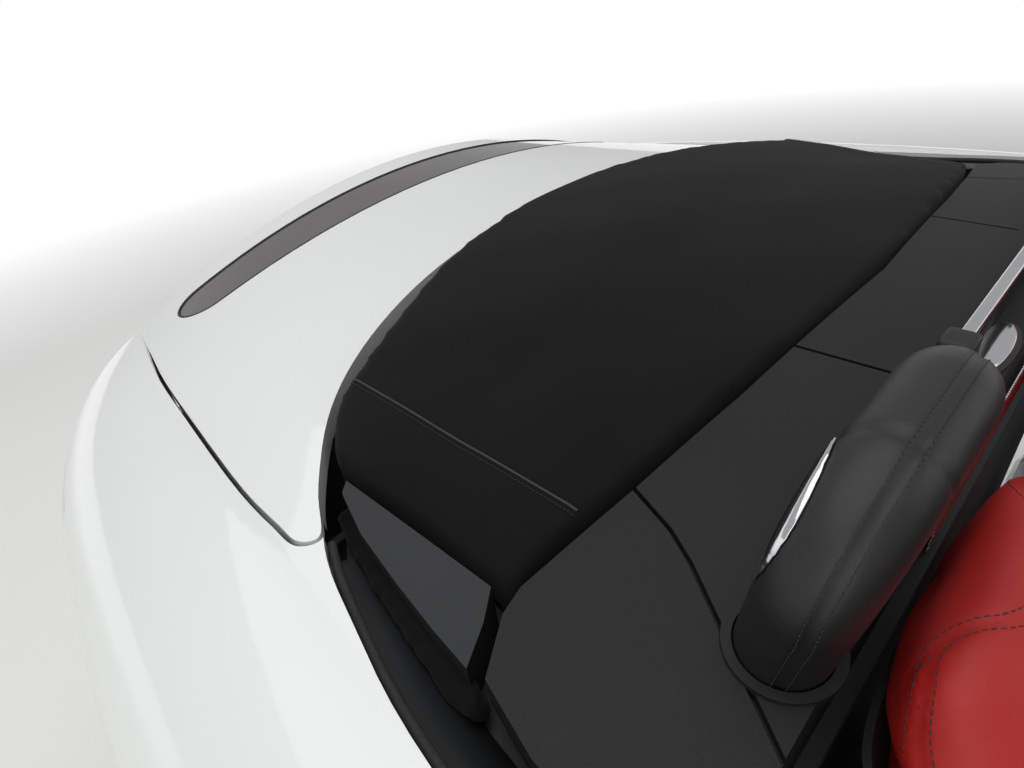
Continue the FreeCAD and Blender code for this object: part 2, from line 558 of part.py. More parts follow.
SCREEN_R = size("screen_radius")
screen_turn = Rotation(Vector(1, 0, 0), -size("screen_rake"))
screen_at = Placement(Vector(0, size("screen_foot_y"), size("screen_foot_z"))
                      - screen_turn.multVec(Vector(0, -SCREEN_R, 0)), screen_turn)
screen_long = size("screen_long")
screen = screen_slab(SCREEN_R, SCREEN_R - 34, 700, 575, 0, screen_long)
pane_hole = screen_slab(SCREEN_R + 20, SCREEN_R - 60, 650, 536, 56, screen_long - 44)
frame_shape = screen.cut(pane_hole)
pane = screen_slab(SCREEN_R - 12, SCREEN_R - 18, 650 - seam, 536 - seam, 56 + seam, screen_long - 44 - seam)
frame_shape.Placement = screen_at
pane.Placement = screen_at
screen_all = screen.copy()
screen_all.Placement = screen_at
frame_shape = frame_shape.cut(hull(-seam))
frame_shape = max(frame_shape.Solids, key=lambda s: s.Volume)
feature("windscreen_frame", frame_shape)
feature("windscreen_glass", pane)

# Cockpit
dash = Part.makeBox(1380, 249.7, 222, Vector(-690, -559.7, 640))
dash = dash.makeFillet(50, [e for e in dash.Edges if e.BoundBox.XLength > 700 and e.BoundBox.YMin > -400])
feature("dashboard", dash)
console = Part.makeBox(220, 900, 90, Vector(-110, -300, 368 + seam))
console = console.makeFillet(22, [e for e in console.Edges if e.BoundBox.ZMax > 450])
feature("centre_console", console)


# seat back: height above its foot, half width, half depth, corner radius, forward shift
SEAT_BACK = ((0, 225, 62, 50), (260, 238, 66, 55), (470, 222, 60, 52), (580, 172, 52, 45), (650, 126, 46, 40),
             (760, 118, 44, 40), (808, 84, 26, 24))


def rounded_wire(half_w, half_d, radius, height):
    corner = radius * (1 - math.sqrt(0.5))
    pts = [(half_w - radius, -half_d), (half_w - corner, -half_d + corner), (half_w, -half_d + radius),
           (half_w, half_d - radius), (half_w - corner, half_d - corner), (half_w - radius, half_d)]
    pts += [(-x, y) for x, y in reversed(pts)]
    v = [Vector(x, y, height) for x, y in pts]
    edges = []
    for k in (0, 3, 6, 9):
        edges.append(Part.Arc(v[k], v[k + 1], v[k + 2]).toShape())
        edges.append(Part.makeLine(v[k + 2], v[(k + 3) % 12]))
    return Part.Wire(edges)


def seat():
    base = Part.makeBox(460, 480, 120, Vector(-230, -60, 280))
    base = base.makeFillet(40, base.Edges)
    bolster = Part.makeBox(90, 440, 150, Vector(-236, -40, 280))
    bolster = bolster.makeFillet(36, bolster.Edges)
    foot = Part.makeBox(380, 400, 120, Vector(-190, -20, 180 + seam))
    back = Part.makeLoft([rounded_wire(w, d, r, z) for z, w, d, r in SEAT_BACK], True, False)
    back.Placement = Placement(Vector(0, size("seat_back_y"), 300), Rotation(Vector(1, 0, 0), -size("seat_rake")))
    return base.fuse([foot, bolster, mirrored(bolster), back])


for side, label in ((1, "seat_left"), (-1, "seat_right")):
    one = seat()
    one.translate(Vector(side * size("seat_pitch"), 0, 0))
    feature(label, one)

ring = Part.makeTorus(size("wheel_ring"), size("wheel_grip"))
hub = Part.makeCylinder(62, 40, Vector(0, 0, -36))
spokes = [Part.makeBox(150, 34, 12, Vector(30, -17, -14))]
spokes.append(spokes[0].copy().rotated(Vector(0, 0, 0), Vector(0, 0, 1), 180))
spokes.append(spokes[0].copy().rotated(Vector(0, 0, 0), Vector(0, 0, 1), -90))
steer = ring.fuse([hub] + spokes).cut(Part.makeCylinder(9 + play, 24, Vector(0, 0, -36)))
tilt = Rotation(Vector(1, 0, 0), -size("wheel_tilt"))
steer.Placement = Placement(Vector(size("wheel_x"), size("wheel_y"), size("wheel_z")), tilt)
feature("steering_wheel", steer)
axis_dir = tilt.multVec(Vector(0, 0, 1))
centre = Vector(size("wheel_x"), size("wheel_y"), size("wheel_z"))
column_top = centre - axis_dir * 37
column_low = centre - axis_dir * 210
column = Part.makeCylinder(34, (column_top - column_low).Length, column_low, axis_dir)
column = column.fuse(Part.makeCylinder(9, 26, column_top - axis_dir * 4, axis_dir))
column = column.cut(dash)
feature("steering_column", max(column.Solids, key=lambda s: s.Volume))

# Behind the seats: trim shelf, padded hoops, wind deflector
inside_well = plan_loop(WELL_LINE, -seam, 500, 1200)
shelf_front = size("shelf_front")
shelf_rear = size("shelf_rear")
# outline of the trim from above: a slot runs in front of the folded top
SHELF_LINE = ((0, shelf_rear - 48), (300, shelf_rear - 32), (450, shelf_rear - 18), (576, shelf_rear - 2),
              (600, shelf_rear - 6), (642, shelf_rear - 30), (658, shelf_rear - 90), (664, shelf_front))
shelf_loop = list(SHELF_LINE) + [(-x, y) for x, y in reversed(SHELF_LINE[1:])]
shelf_block = plan_prism(shelf_loop, size("shelf_base"), 1100)


def groove(line, half, depth):
    """A narrow shut line along a plan line, cut into the crowned trim."""
    strip = moved_in(line, half) + list(reversed(moved_in(line, -half)))
    deep = size("trim_sunk") + depth
    return hull(size("trim_sunk") - 2).cut(hull(deep)).common(plan_prism(strip, 700, 1200))


crown_shell = hull(size("trim_sunk")).cut(hull(size("trim_sunk") + size("shelf_thick")))
shelf = crown_shell.common(shelf_block).common(inside_well)
shelf = shelf.fuse(block(-540, 540, shelf_front + 2, shelf_front + 10, size("tray_top") + seam, 1000).common(
    hull(size("trim_sunk") + 3)))
hoop_out = size("hoop_out_x")
hoop_in = size("hoop_in_x")
hoop_line = (Vector(hoop_out, size("hoop_foot_y"), size("hoop_foot_z")),
             Vector(hoop_out + size("hoop_flare"), size("hoop_top_y"), size("hoop_top_z")),
             Vector(hoop_in - 2, size("hoop_top_y"), size("hoop_top_z")),
             Vector(hoop_in, size("hoop_foot_y"), size("hoop_foot_z")))


def bent_path(points, radius):
    """Straight pieces joined by tangent arcs of one radius."""
    edges = []
    start = points[0]
    for before, corner, after in zip(points, points[1:], points[2:]):
        back = (before - corner).normalize()
        ahead = (after - corner).normalize()
        half_angle = back.getAngle(ahead) / 2
        reach = radius / math.tan(half_angle)
        first = corner + back * reach
        last = corner + ahead * reach
        middle = corner + (back + ahead).normalize() * (radius / math.sin(half_angle) - radius)
        edges.append(Part.makeLine(start, first))
        edges.append(Part.Arc(first, middle, last).toShape())
        start = last
    edges.append(Part.makeLine(start, points[-1]))
    return Part.Wire(edges)


for line in (((446, 1062), (469, 1002), (486, 973), (524, 921), (572, 855)), ((204, 1050), (203, 1010), (200, 930))):
    cut = groove(line, size("shut_half"), size("shut_depth"))
    shelf = shelf.cut(cut).cut(mirrored(cut))
tube = size("hoop_tube")
hoop_path = bent_path(hoop_line, size("hoop_bend"))
hoop_ring = Part.Wire([Part.Circle(hoop_line[0], hoop_line[1] - hoop_line[0], tube).toShape()])
hoop = hoop_path.makePipeShell([hoop_ring], True, False)
feature("roll_hoops", both(hoop))
# metal plate that closes the opening of each hoop, leaning with its legs
lean = (hoop_line[1].y - hoop_line[0].y) / (hoop_line[1].z - hoop_line[0].z)
plate_low = size("infill_low")
plate_high = size("hoop_top_z") - tube - seam
plate_mid = hoop_line[0].y + lean * (plate_low - hoop_line[0].z)
plate_top = hoop_line[0].y + lean * (plate_high - hoop_line[0].z)
thick = size("infill_thick") / 2
infill_face = Part.Face(Part.makePolygon([Vector(hoop_in, plate_mid - thick, plate_low),
                                          Vector(hoop_in, plate_mid + thick, plate_low),
                                          Vector(hoop_in, plate_top + thick, plate_high),
                                          Vector(hoop_in, plate_top - thick, plate_high),
                                          Vector(hoop_in, plate_mid - thick, plate_low)]))
infill = infill_face.extrude(Vector(hoop_out - hoop_in, 0, 0))
spread = Part.Wire(hoop_path.Edges).makePipeShell([Part.Wire([Part.Circle(
    hoop_line[0], hoop_line[1] - hoop_line[0], tube + seam).toShape()])], True, False)
infill = infill.cut(spread)
infill = min(infill.Solids, key=lambda one: abs(one.CenterOfMass.x - (hoop_out + hoop_in) / 2))
infill = infill.cut(hull(size("trim_sunk") - size("collar_rise") - seam))
infill = max(infill.Solids, key=lambda one: one.Volume)
feature("hoop_infills", both(infill))
collar_shell = hull(size("trim_sunk") - size("collar_rise")).cut(hull(size("trim_sunk") + 12))
for foot, top_of in ((hoop_line[0], hoop_line[1]), (hoop_line[3], hoop_line[2])):
    axis = (top_of - foot).normalize()
    collar = Part.makeCylinder(tube + size("collar_width"), 200, foot - axis * 20, axis).common(collar_shell)
    hole = Part.makeCylinder(tube + seam, 300, foot - axis * 60, axis)
    shelf = shelf.fuse([collar, mirrored(collar)]).cut(hole).cut(mirrored(hole))
shelf = max(shelf.Solids, key=lambda one: one.Volume)
feature("rear_shelf", shelf)
deflector = block(-size("deflector_half"), size("deflector_half"), size("deflector_y") - 4, size("deflector_y") + 4,
                  700, size("deflector_top")).cut(hull(size("trim_sunk") - seam))
deflector = max(deflector.Solids, key=lambda one: one.CenterOfMass.z)
feature("wind_deflector", deflector)

# Folded soft top in its well, with a hard flap at each side
# half outline from above: front edge, straight side, curved rear edge
TOP_FRONT = ((0, 1029), (200, 1036), (380, 1050), (500, 1063), (576, 1075))
TOP_REAR = ((578, 1338), (560, 1358), (514, 1384), (391, 1438), (294, 1477), (150, 1512), (0, 1522))


def top_prism(grow):
    front = moved_in(TOP_FRONT, -grow)
    rear = moved_in(TOP_REAR, -grow)
    front[0] = (0, TOP_FRONT[0][1] - grow)
    front[-1] = (TOP_FRONT[-1][0] + grow, TOP_FRONT[-1][1] - grow)
    rear[0] = (TOP_REAR[0][0] + grow, TOP_REAR[0][1])
    rear[-1] = (0, TOP_REAR[-1][1] + grow)
    ahead = [Vector(-x, y, 800) for x, y in reversed(front)] + [Vector(x, y, 800) for x, y in front[1:]]
    behind = [Vector(x, y, 800) for x, y in rear] + [Vector(-x, y, 800) for x, y in reversed(rear[:-1])]
    waist = size("top_waist") + grow
    right = Part.Arc(ahead[-1], Vector(waist, 1200, 800), behind[0]).toShape()
    left = Part.Arc(behind[-1], Vector(-waist, 1200, 800), ahead[0]).toShape()
    return Part.Face(Part.Wire([smooth_edge(ahead), right, smooth_edge(behind), left])).extrude(Vector(0, 0, 400))


def top_section(y, side_z, roll_z, crown_z):
    side = size("top_half")
    roll = size("top_seam_x")
    a, b = Vector(-side - 30, y, side_z - 60), Vector(side + 30, y, side_z - 60)
    low = size("tray_top") + seam
    pts = [Vector(-side - 30, y, low), Vector(side + 30, y, low), b, Vector(side, y, side_z), Vector(roll, y, roll_z),
           Vector(-roll, y, roll_z), Vector(-side, y, side_z), a]
    edges = [Part.makeLine(pts[0], pts[1]), Part.makeLine(pts[1], pts[2]), Part.makeLine(pts[2], pts[3]),
             Part.Arc(pts[3], Vector((side + roll) / 2 + 6, y, (side_z + roll_z) / 2 + 9), pts[4]).toShape(),
             Part.Arc(pts[4], Vector(0, y, crown_z), pts[5]).toShape(),
             Part.Arc(pts[5], Vector(-(side + roll) / 2 - 6, y, (side_z + roll_z) / 2 + 9), pts[6]).toShape(),
             Part.makeLine(pts[6], pts[7]), Part.makeLine(pts[7], pts[0])]
    return Part.Wire(edges)


TOP_STATIONS = ((1000, 916, 950, 986), (1200, 926, 966, 1008), (1400, 930, 974, 1020), (1560, 928, 968, 1014))
top_loft = Part.makeLoft([top_section(*row) for row in TOP_STATIONS], True, False)
top = top_loft.common(top_prism(0))
feature("folded_top", top)
tray_z = size("tray_top")
tray = plan_loop(WELL_LINE, -8, tray_z - 8, tray_z).common(block(-900, 900, 990, 1600, 0, 2000))
tray = tray.fuse(block(-size("boot_half") + 10, size("boot_half") - 10, 852.3, 1000, tray_z - 8, tray_z))
for side in (-1, 1):
    tray = tray.fuse(block(min(side * 540, side * 698), max(side * 540, side * 698), 865, 1000, tray_z - 8, tray_z))
FLAP = ((588, 1302), (585, 1090), (610, 1073), (642, 1058), (638, 1100), (630, 1160), (618, 1232), (600, 1292))
flap = hull(size("flap_sunk")).common(plan_prism(FLAP, tray_z + seam, 1000))
feature("top_flaps", both(flap))
seal_in = size("seal_gap")
seal_low = tray_z + seam
seal = hull(size("seal_sunk")).common(plan_loop(WELL_LINE, -seal_in, seal_low, 1100))
seal = seal.cut(top_prism(size("top_gap"))).cut(block(-900, 900, -600, 1290, 800, 1200))
lips = hull(size("seal_sunk")).common(plan_loop(WELL_LINE, -seal_in / 2, seal_low, 1100))
lips = lips.cut(plan_loop(WELL_LINE, -seal_in / 2 - size("seal_wide"), 500, 1200))
lips = lips.cut(block(-900, 900, -600, size("seal_front"), 800, 1200)).cut(block(-560, 560, 1280, 1700, 800, 1200))
seal = seal.fuse(lips)
seal = max(seal.Solids, key=lambda one: one.Volume)
feature("well_trim", seal)
for side in (-1, 1):
    x = side * lid_pins
    post_arm = block(x - 5, x + 5, lid_pin[0] - 4, lid_pin[0] + 4, tray_z - 8, lid_pin[1] + 2)
    lug_pin = rod((x - 11, lid_pin[0], lid_pin[1]), (x + 11, lid_pin[0], lid_pin[1]), pin)
    foot = block(min(x, side * 600) - 5, max(x, side * 600) + 5, lid_pin[0] - 5, lid_pin[0] + 5, tray_z - 8, tray_z)
    tray = tray.fuse([foot, post_arm, lug_pin])
feature("top_tray", tray)

# Grille
bars = [block(-330 + seam, 330 - seam, -2100, -1900, z, z + 8) for z in range(316, 460, 24)]
uprights = [block(x - 6, x + 6, -2100, -1900, 300 + seam, 470 - seam) for x in (-323.7, 0, 323.7)]
grille = hull(6).cut(hull(18)).common(bars[0].fuse(bars[1:] + uprights))
feature("grille", grille)

# Suspension
cross = Part.makeBox(800, 90, 70, Vector(-400, front_axle - 45, 200))
arm = Part.makeBox(300, 44, 24, Vector(396, front_axle - 22, 198))
arm = arm.fuse(rod((size("king_low_x"), front_axle, 198), (size("king_low_x"), front_axle, 222), 22))
arm = arm.cut(rod(on_king(520), on_king(440), 9 + play))
legs = block(400, 450, front_axle - 45, front_axle + 45, 262, 359.7)
front_susp = cross.fuse([arm, mirrored(arm), block(380, 450, front_axle - 45, front_axle + 45, 200, 270),
                         mirrored(block(380, 450, front_axle - 45, front_axle + 45, 200, 270)), legs,
                         mirrored(legs)])
feature("front_suspension", front_susp)
rear_cross = Part.makeBox(760, 130, 110, Vector(-380, rear_axle - 65, 262))
rear_arm = Part.makeBox(300, 60, 30, Vector(376, rear_axle - 30, 215))
stub = size("stub_radius")
rear_hub = rod((640, rear_axle, hub_z), (748, rear_axle, hub_z), 62).fuse(
    rod((748, rear_axle, hub_z), (782, rear_axle, hub_z), stub))
rear_leg = block(300, 360, rear_axle - 65, rear_axle + 65, 360, 519.7)
shaft = rod((370, rear_axle, hub_z), (650, rear_axle, hub_z), 16)
carrier = Part.makeBox(34, 90, 130, Vector(640, rear_axle - 45, 212))
rear_bits = (rear_arm, rear_hub, shaft, carrier, rear_leg)
rear_susp = rear_cross.fuse(list(rear_bits) + [mirrored(s) for s in rear_bits])
feature("rear_suspension", rear_susp)

knuckle = rod((640, front_axle, hub_z), (722, front_axle, hub_z), 58).fuse(
    rod((722, front_axle, hub_z), (756, front_axle, hub_z), stub))
ball = rod(on_king(492), on_king(455), 9)
foot = block(668, 712, front_axle - 20, front_axle + 20, 228, 262)
top_pin = rod(on_king(-36), on_king(24), 10)
upright = Part.makeBox(28, 60, 190, Vector(640, front_axle - 30, 226))
bracket = Part.makeBox(90, 44, 40, Vector(572, front_axle - 22, 376))
strut = rod((588, front_axle, 380), (581, front_axle, 652), 19)
perch = rod((585, front_axle, 520), (584.7, front_axle, 530), 36)
knuckle = knuckle.fuse([upright, bracket, strut, perch, ball, foot, top_pin])
feature("knuckle_left", knuckle)
feature("knuckle_right", mirrored(knuckle))


# Wheels
def half_turn(points, x, axle):
    loop = [Vector(x + u, axle, hub_z + r) for u, r in points]
    face = Part.Face(Part.makePolygon(loop + [loop[0]]))
    return face.revolve(Vector(x, axle, hub_z), Vector(1, 0, 0), 360)


TYRE = ((-112, 262), (-104, 300), (-86, 314), (-50, 317), (50, 317), (86, 314), (104, 300), (112, 262),
        (106, 233), (97.7, 227), (97.7, 214.3), (84, 214.3), (80, 226), (88, 262), (78, 296), (-78, 296),
        (-88, 262), (-80, 226), (-84, 214.3), (-97.7, 214.3), (-97.7, 227), (-106, 233))
RIM = ((-104, 226), (-98, 226), (-98, 214), (-80, 210), (-70, 196), (70, 196), (80, 210), (98, 214),
       (98, 226), (104, 226), (104, 208), (86, 203), (74, 189), (-74, 189), (-86, 203), (-104, 208))


def rim(x, axle, side):
    barrel = half_turn(RIM, x, axle)
    centre_disc = rod((x + side * 36, axle, hub_z), (x + side * 62, axle, hub_z), 74)
    parts = [centre_disc]
    for k in range(5):
        spoke = Part.makeBox(24, 46, 150, Vector(-12, -23, 50))
        spoke.rotate(Vector(0, 0, 0), Vector(1, 0, 0), 72 * k)
        spoke.translate(Vector(x + side * 52, axle, hub_z))
        parts.append(spoke)
    wheel = barrel.fuse(parts)
    return wheel


CORNERS = (("front_left", front_axle, size("front_track") / 2, 1),
           ("front_right", front_axle, size("front_track") / 2, -1),
           ("rear_left", rear_axle, size("rear_track") / 2, 1),
           ("rear_right", rear_axle, size("rear_track") / 2, -1))
for label, axle, x, side in CORNERS:
    feature("tyre_" + label, half_turn(TYRE, side * x, axle))
    feature("rim_" + label, rim(side * x, axle, side))
    disc = rod((side * (x - 6), axle, hub_z), (side * (x + 36 - seam), axle, hub_z), 70)
    flat = rod((side * (x - 6), axle, hub_z), (side * (x + 16), axle, hub_z), 150)
    bore = rod((side * (x - 10), axle, hub_z), (side * (x + 28), axle, hub_z), stub + play)
    feature("disc_" + label, disc.fuse(flat).cut(bore))

doc.recompute()
os.makedirs("parts", exist_ok=True)
bad = []
for obj in doc.Objects:
    if "Invalid" in obj.State or "Error" in obj.State:
        bad.append(obj.Name)
for obj in NODES:
    if obj.Shape.isNull() or not obj.Shape.isValid():
        bad.append(obj.Label)
if bad:
    raise SystemExit("faulty: " + ", ".join(bad))
for obj in NODES:
    obj.Shape.exportStep("parts/%s.step" % obj.Label)
    print(obj.Label, len(obj.Shape.Solids), round(obj.Shape.Volume / 1e6, 2))
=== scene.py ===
import json
import math
import random

import bpy
from mathutils import Matrix, Vector
from mathutils.kdtree import KDTree


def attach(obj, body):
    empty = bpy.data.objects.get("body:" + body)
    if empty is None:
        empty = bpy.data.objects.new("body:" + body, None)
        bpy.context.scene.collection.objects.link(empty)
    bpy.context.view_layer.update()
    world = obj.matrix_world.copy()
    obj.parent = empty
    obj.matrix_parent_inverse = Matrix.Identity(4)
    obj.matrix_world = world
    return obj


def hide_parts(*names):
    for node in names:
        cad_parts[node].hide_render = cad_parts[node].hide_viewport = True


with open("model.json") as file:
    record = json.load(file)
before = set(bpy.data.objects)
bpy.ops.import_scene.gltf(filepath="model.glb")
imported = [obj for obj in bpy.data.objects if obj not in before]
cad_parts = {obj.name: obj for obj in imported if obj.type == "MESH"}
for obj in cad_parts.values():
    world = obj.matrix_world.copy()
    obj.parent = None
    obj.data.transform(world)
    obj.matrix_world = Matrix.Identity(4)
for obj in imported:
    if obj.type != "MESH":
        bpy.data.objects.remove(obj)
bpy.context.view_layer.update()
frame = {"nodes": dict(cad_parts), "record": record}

nodes = frame["nodes"]
slot_of = {part["node"]: part["material_slot"] for part in frame["record"]["subparts"]}


# Shader nodes

def add(tree, kind, **values):
    made = tree.nodes.new(kind)
    for key, value in values.items():
        if hasattr(made, key):
            setattr(made, key, value)
        else:
            made.inputs[key.replace("_", " ")].default_value = value
    return made


def feed(tree, value, socket):
    """Links an output to a socket, or sets the socket to a plain value."""
    if isinstance(value, bpy.types.NodeSocket):
        tree.links.new(value, socket)
    else:
        socket.default_value = value


def texture(tree, kind, scale, **values):
    """A texture read on Object coordinates."""
    made = add(tree, "ShaderNodeTex" + kind, **values)
    feed(tree, add(tree, "ShaderNodeTexCoord").outputs["Object"], made.inputs["Vector"])
    feed(tree, scale, made.inputs["Scale"])
    return made.outputs


def math_node(tree, operation, first, second):
    made = add(tree, "ShaderNodeMath", operation=operation)
    feed(tree, first, made.inputs[0])
    feed(tree, second, made.inputs[1])
    return made.outputs[0]


def mix(tree, share, low, high, kind="RGBA"):
    """Blends two colours, or two numbers when kind is FLOAT; each is a value or a socket."""
    made = add(tree, "ShaderNodeMix", data_type=kind)
    first, result = (6, 2) if kind == "RGBA" else (2, 0)
    for index, value in ((0, share), (first, low), (first + 1, high)):
        feed(tree, (*value, 1.0) if isinstance(value, tuple) else value, made.inputs[index])
    return made.outputs[result]


def range_of(tree, value, low, high, start=0.0, end=1.0):
    made = add(tree, "ShaderNodeMapRange", From_Min=start, From_Max=end, To_Min=low, To_Max=high)
    feed(tree, value, made.inputs["Value"])
    return made.outputs[0]


def bump(tree, height, strength, distance):
    made = add(tree, "ShaderNodeBump", Strength=strength, Distance=distance)
    feed(tree, height, made.inputs["Height"])
    return made.outputs[0]


def new_group(name, inputs, outputs):
    """A node group of plain numbers; gives its tree, the sockets inside it, and where results go."""
    group = bpy.data.node_groups.new(name, "ShaderNodeTree")
    for label, value in inputs.items():
        group.interface.new_socket(label, in_out="INPUT", socket_type="NodeSocketFloat").default_value = value
    for label in outputs:
        group.interface.new_socket(label, in_out="OUTPUT", socket_type="NodeSocketFloat")
    return group, group.nodes.new("NodeGroupInput").outputs, group.nodes.new("NodeGroupOutput").inputs


def grain_group():
    """Pebbled grain of leather or moulded plastic: height, and a mask of its valleys."""
    group, given, result = new_group("grain", {"Scale": 400.0, "Softness": 0.5}, ("Height", "Valleys"))
    cells = texture(group, "Voronoi", given["Scale"], feature="DISTANCE_TO_EDGE")
    soft = texture(group, "Noise", given["Scale"], Detail=3.0)
    crease = range_of(group, cells["Distance"], 0.0, 1.0, 0.0, 0.14)
    feed(group, mix(group, given["Softness"], crease, soft[0], "FLOAT"), result["Height"])
    feed(group, math_node(group, "SUBTRACT", 1.0, crease), result["Valleys"])
    return group


def weave_group():
    """Close napped cloth of the soft top: fine threads, slow clouds and sparse pale lint."""
    group, given, result = new_group("weave", {"Threads": 1500.0}, ("Height", "Lint", "Cloudy"))
    feed(group, texture(group, "Noise", given["Threads"], Detail=2.0)[0], result["Height"])
    feed(group, texture(group, "Noise", 7.0, Detail=4.0)[0], result["Cloudy"])
    specks = texture(group, "Voronoi", 110.0)
    lint = range_of(group, specks["Distance"], 0.0, 1.0, 0.085, 0.03)
    chosen = math_node(group, "GREATER_THAN", texture(group, "Noise", 38.0, Detail=2.0)[0], 0.66)
    feed(group, math_node(group, "MULTIPLY", lint, chosen), result["Lint"])
    return group


def mottle_group():
    """Slow change of tone and gloss over a surface, with a finer dust on top."""
    group, given, result = new_group("mottle", {"Scale": 6.0, "Fine scale": 260.0}, ("Slow", "Fine"))
    feed(group, texture(group, "Noise", given["Scale"], Detail=2.0)[0], result["Slow"])
    feed(group, texture(group, "Noise", given["Fine scale"], Detail=1.0)[0], result["Fine"])
    return group


GRAIN, WEAVE, MOTTLE = grain_group(), weave_group(), mottle_group()


def use_group(tree, group, **values):
    made = tree.nodes.new("ShaderNodeGroup")
    made.node_tree = group
    for key, value in values.items():
        made.inputs[key.replace("_", " ")].default_value = value
    return made.outputs


# Finishes, kept by name

FINISH = {}


def finish(name, roughness, metallic=0.0, **fixed):
    """A new material with plain values; gives its tree and the inputs of its shader."""
    material = FINISH[name] = bpy.data.materials.new(name)
    material.use_nodes = True
    shader = material.node_tree.nodes["Principled BSDF"].inputs
    for key, value in dict(fixed, Roughness=roughness, Metallic=metallic).items():
        shader[key.replace("_", " ")].default_value = value
    return material.node_tree, shader


def mottled(name, low, high, roughness, metallic=0.0, scale=6.0, fine=260.0, depth=0.0, **fixed):
    """A finish whose tone and gloss drift slowly, with a fine texture for its bump."""
    tree, shader = finish(name, roughness, metallic, **fixed)
    drift = use_group(tree, MOTTLE, Scale=scale, Fine_scale=fine)
    feed(tree, mix(tree, drift["Slow"], low, high), shader["Base Color"])
    feed(tree, range_of(tree, drift["Slow"], roughness * 0.85, roughness * 1.15), shader["Roughness"])
    if depth:
        feed(tree, bump(tree, drift["Fine"], 0.4, depth), shader["Normal"])


def grained(name, low, high, roughness, scale, depth, softness=0.4, **fixed):
    """A finish with pebbled grain, whose valleys are darker and duller."""
    tree, shader = finish(name, roughness, **fixed)
    grain = use_group(tree, GRAIN, Scale=scale, Softness=softness)
    drift = use_group(tree, MOTTLE, Scale=5.0, Fine_scale=300.0)
    tone = math_node(tree, "MULTIPLY", grain["Height"], drift["Slow"])
    feed(tree, mix(tree, range_of(tree, tone, 0.0, 1.0, 0.1, 0.6), low, high), shader["Base Color"])
    feed(tree, range_of(tree, grain["Valleys"], roughness, min(roughness + 0.2, 1.0)), shader["Roughness"])
    feed(tree, bump(tree, grain["Height"], 0.55, depth), shader["Normal"])


def make_cloth_finish():
    tree, shader = finish("top_cloth", 0.95, Sheen_Weight=0.04, Sheen_Roughness=0.5, Specular_IOR_Level=0.22)
    weave = use_group(tree, WEAVE, Threads=1500.0)
    base = mix(tree, range_of(tree, weave["Cloudy"], 0.0, 1.0, 0.35, 0.65),
               (0.0024, 0.0022, 0.0023), (0.0038, 0.0035, 0.0036))
    feed(tree, mix(tree, weave["Lint"], base, (0.03, 0.029, 0.03)), shader["Base Color"])
    feed(tree, bump(tree, weave["Height"], 0.5, 0.0004), shader["Normal"])


def make_glass_finish():
    tree, shader = finish("clear_glass", 0.02, IOR=1.45, Transmission_Weight=0.92)
    drift = use_group(tree, MOTTLE, Scale=3.0, Fine_scale=40.0)
    feed(tree, mix(tree, drift["Slow"], (0.8, 0.88, 0.86), (0.86, 0.93, 0.91)), shader["Base Color"])


make_cloth_finish()
make_glass_finish()
# name, darker and lighter tone, roughness; then grain scale, depth and softness
grained("satin_black", (0.014, 0.015, 0.016), (0.026, 0.027, 0.029), 0.4, 1500.0, 0.00008, 0.7,
        Specular_IOR_Level=0.3)
grained("soft_trim", (0.0055, 0.0055, 0.0058), (0.0095, 0.0095, 0.01), 0.55, 1300.0, 0.0002, 0.6,
        Specular_IOR_Level=0.36)
grained("red_leather", (0.36, 0.0075, 0.0055), (0.47, 0.012, 0.0085), 0.46, 1050.0, 0.00022, 0.6)
grained("black_leather", (0.007, 0.007, 0.0075), (0.012, 0.012, 0.013), 0.36, 1100.0, 0.0002, 0.6)
grained("tread_rubber", (0.01, 0.01, 0.011), (0.022, 0.022, 0.023), 0.72, 500.0, 0.0004)
# name, darker and lighter tone, roughness, metal share
mottled("pearl_paint", (0.735, 0.752, 0.74), (0.78, 0.796, 0.784), 0.3, scale=2.2, fine=1600.0,
        depth=0.00003, Coat_Weight=0.8, Coat_Roughness=0.04)
mottled("lamp_clear", (0.55, 0.58, 0.6), (0.66, 0.69, 0.71), 0.06, Coat_Weight=1.0)
mottled("lamp_red", (0.24, 0.01, 0.012), (0.33, 0.014, 0.016), 0.08, Coat_Weight=1.0)
mottled("smoked_lens", (0.05, 0.045, 0.044), (0.075, 0.068, 0.066), 0.05, Coat_Weight=1.0)
mottled("bright_metal", (0.66, 0.67, 0.69), (0.78, 0.79, 0.81), 0.14, 1.0, fine=500.0)
mottled("mirror_silver", (0.86, 0.87, 0.88), (0.92, 0.93, 0.94), 0.02, 1.0)
mottled("alloy", (0.5, 0.51, 0.53), (0.58, 0.59, 0.61), 0.3, 0.9, fine=700.0, depth=0.00004)
mottled("steel", (0.28, 0.28, 0.29), (0.38, 0.38, 0.39), 0.36, 1.0, fine=420.0, depth=0.0001)
mottled("iron", (0.05, 0.05, 0.052), (0.09, 0.088, 0.086), 0.62, 0.4, fine=300.0, depth=0.0004)
mottled("dark_steel", (0.018, 0.018, 0.02), (0.034, 0.034, 0.037), 0.5, 0.2, fine=300.0, depth=0.0002)
mottled("dark_thread", (0.016, 0.016, 0.017), (0.03, 0.03, 0.032), 0.6, fine=900.0)
mottled("plate_white", (0.72, 0.72, 0.7), (0.78, 0.78, 0.76), 0.45, fine=700.0, depth=0.00003)

for name, shape in nodes.items():
    shape.data.materials.clear()
    shape.data.materials.append(FINISH["smoked_lens" if name == "high_stop_lamp" else slot_of[name]])


# Modelling helpers

DOWN, REARWARD, FORWARD, INWARD = (0, 0, -1), (0, 1, 0), (0, -1, 0), (-1, 0, 0)
UNTURNED, QUARTER_TURN = Matrix(), Matrix.Rotation(math.pi / 2, 4, "Z")
UPRIGHT = Matrix.Rotation(-math.pi / 2, 4, "Y")


def within(value, low=0.0, high=1.0):
    return min(max(value, low), high)


def eased(share):
    return share * share * (3 - 2 * share)


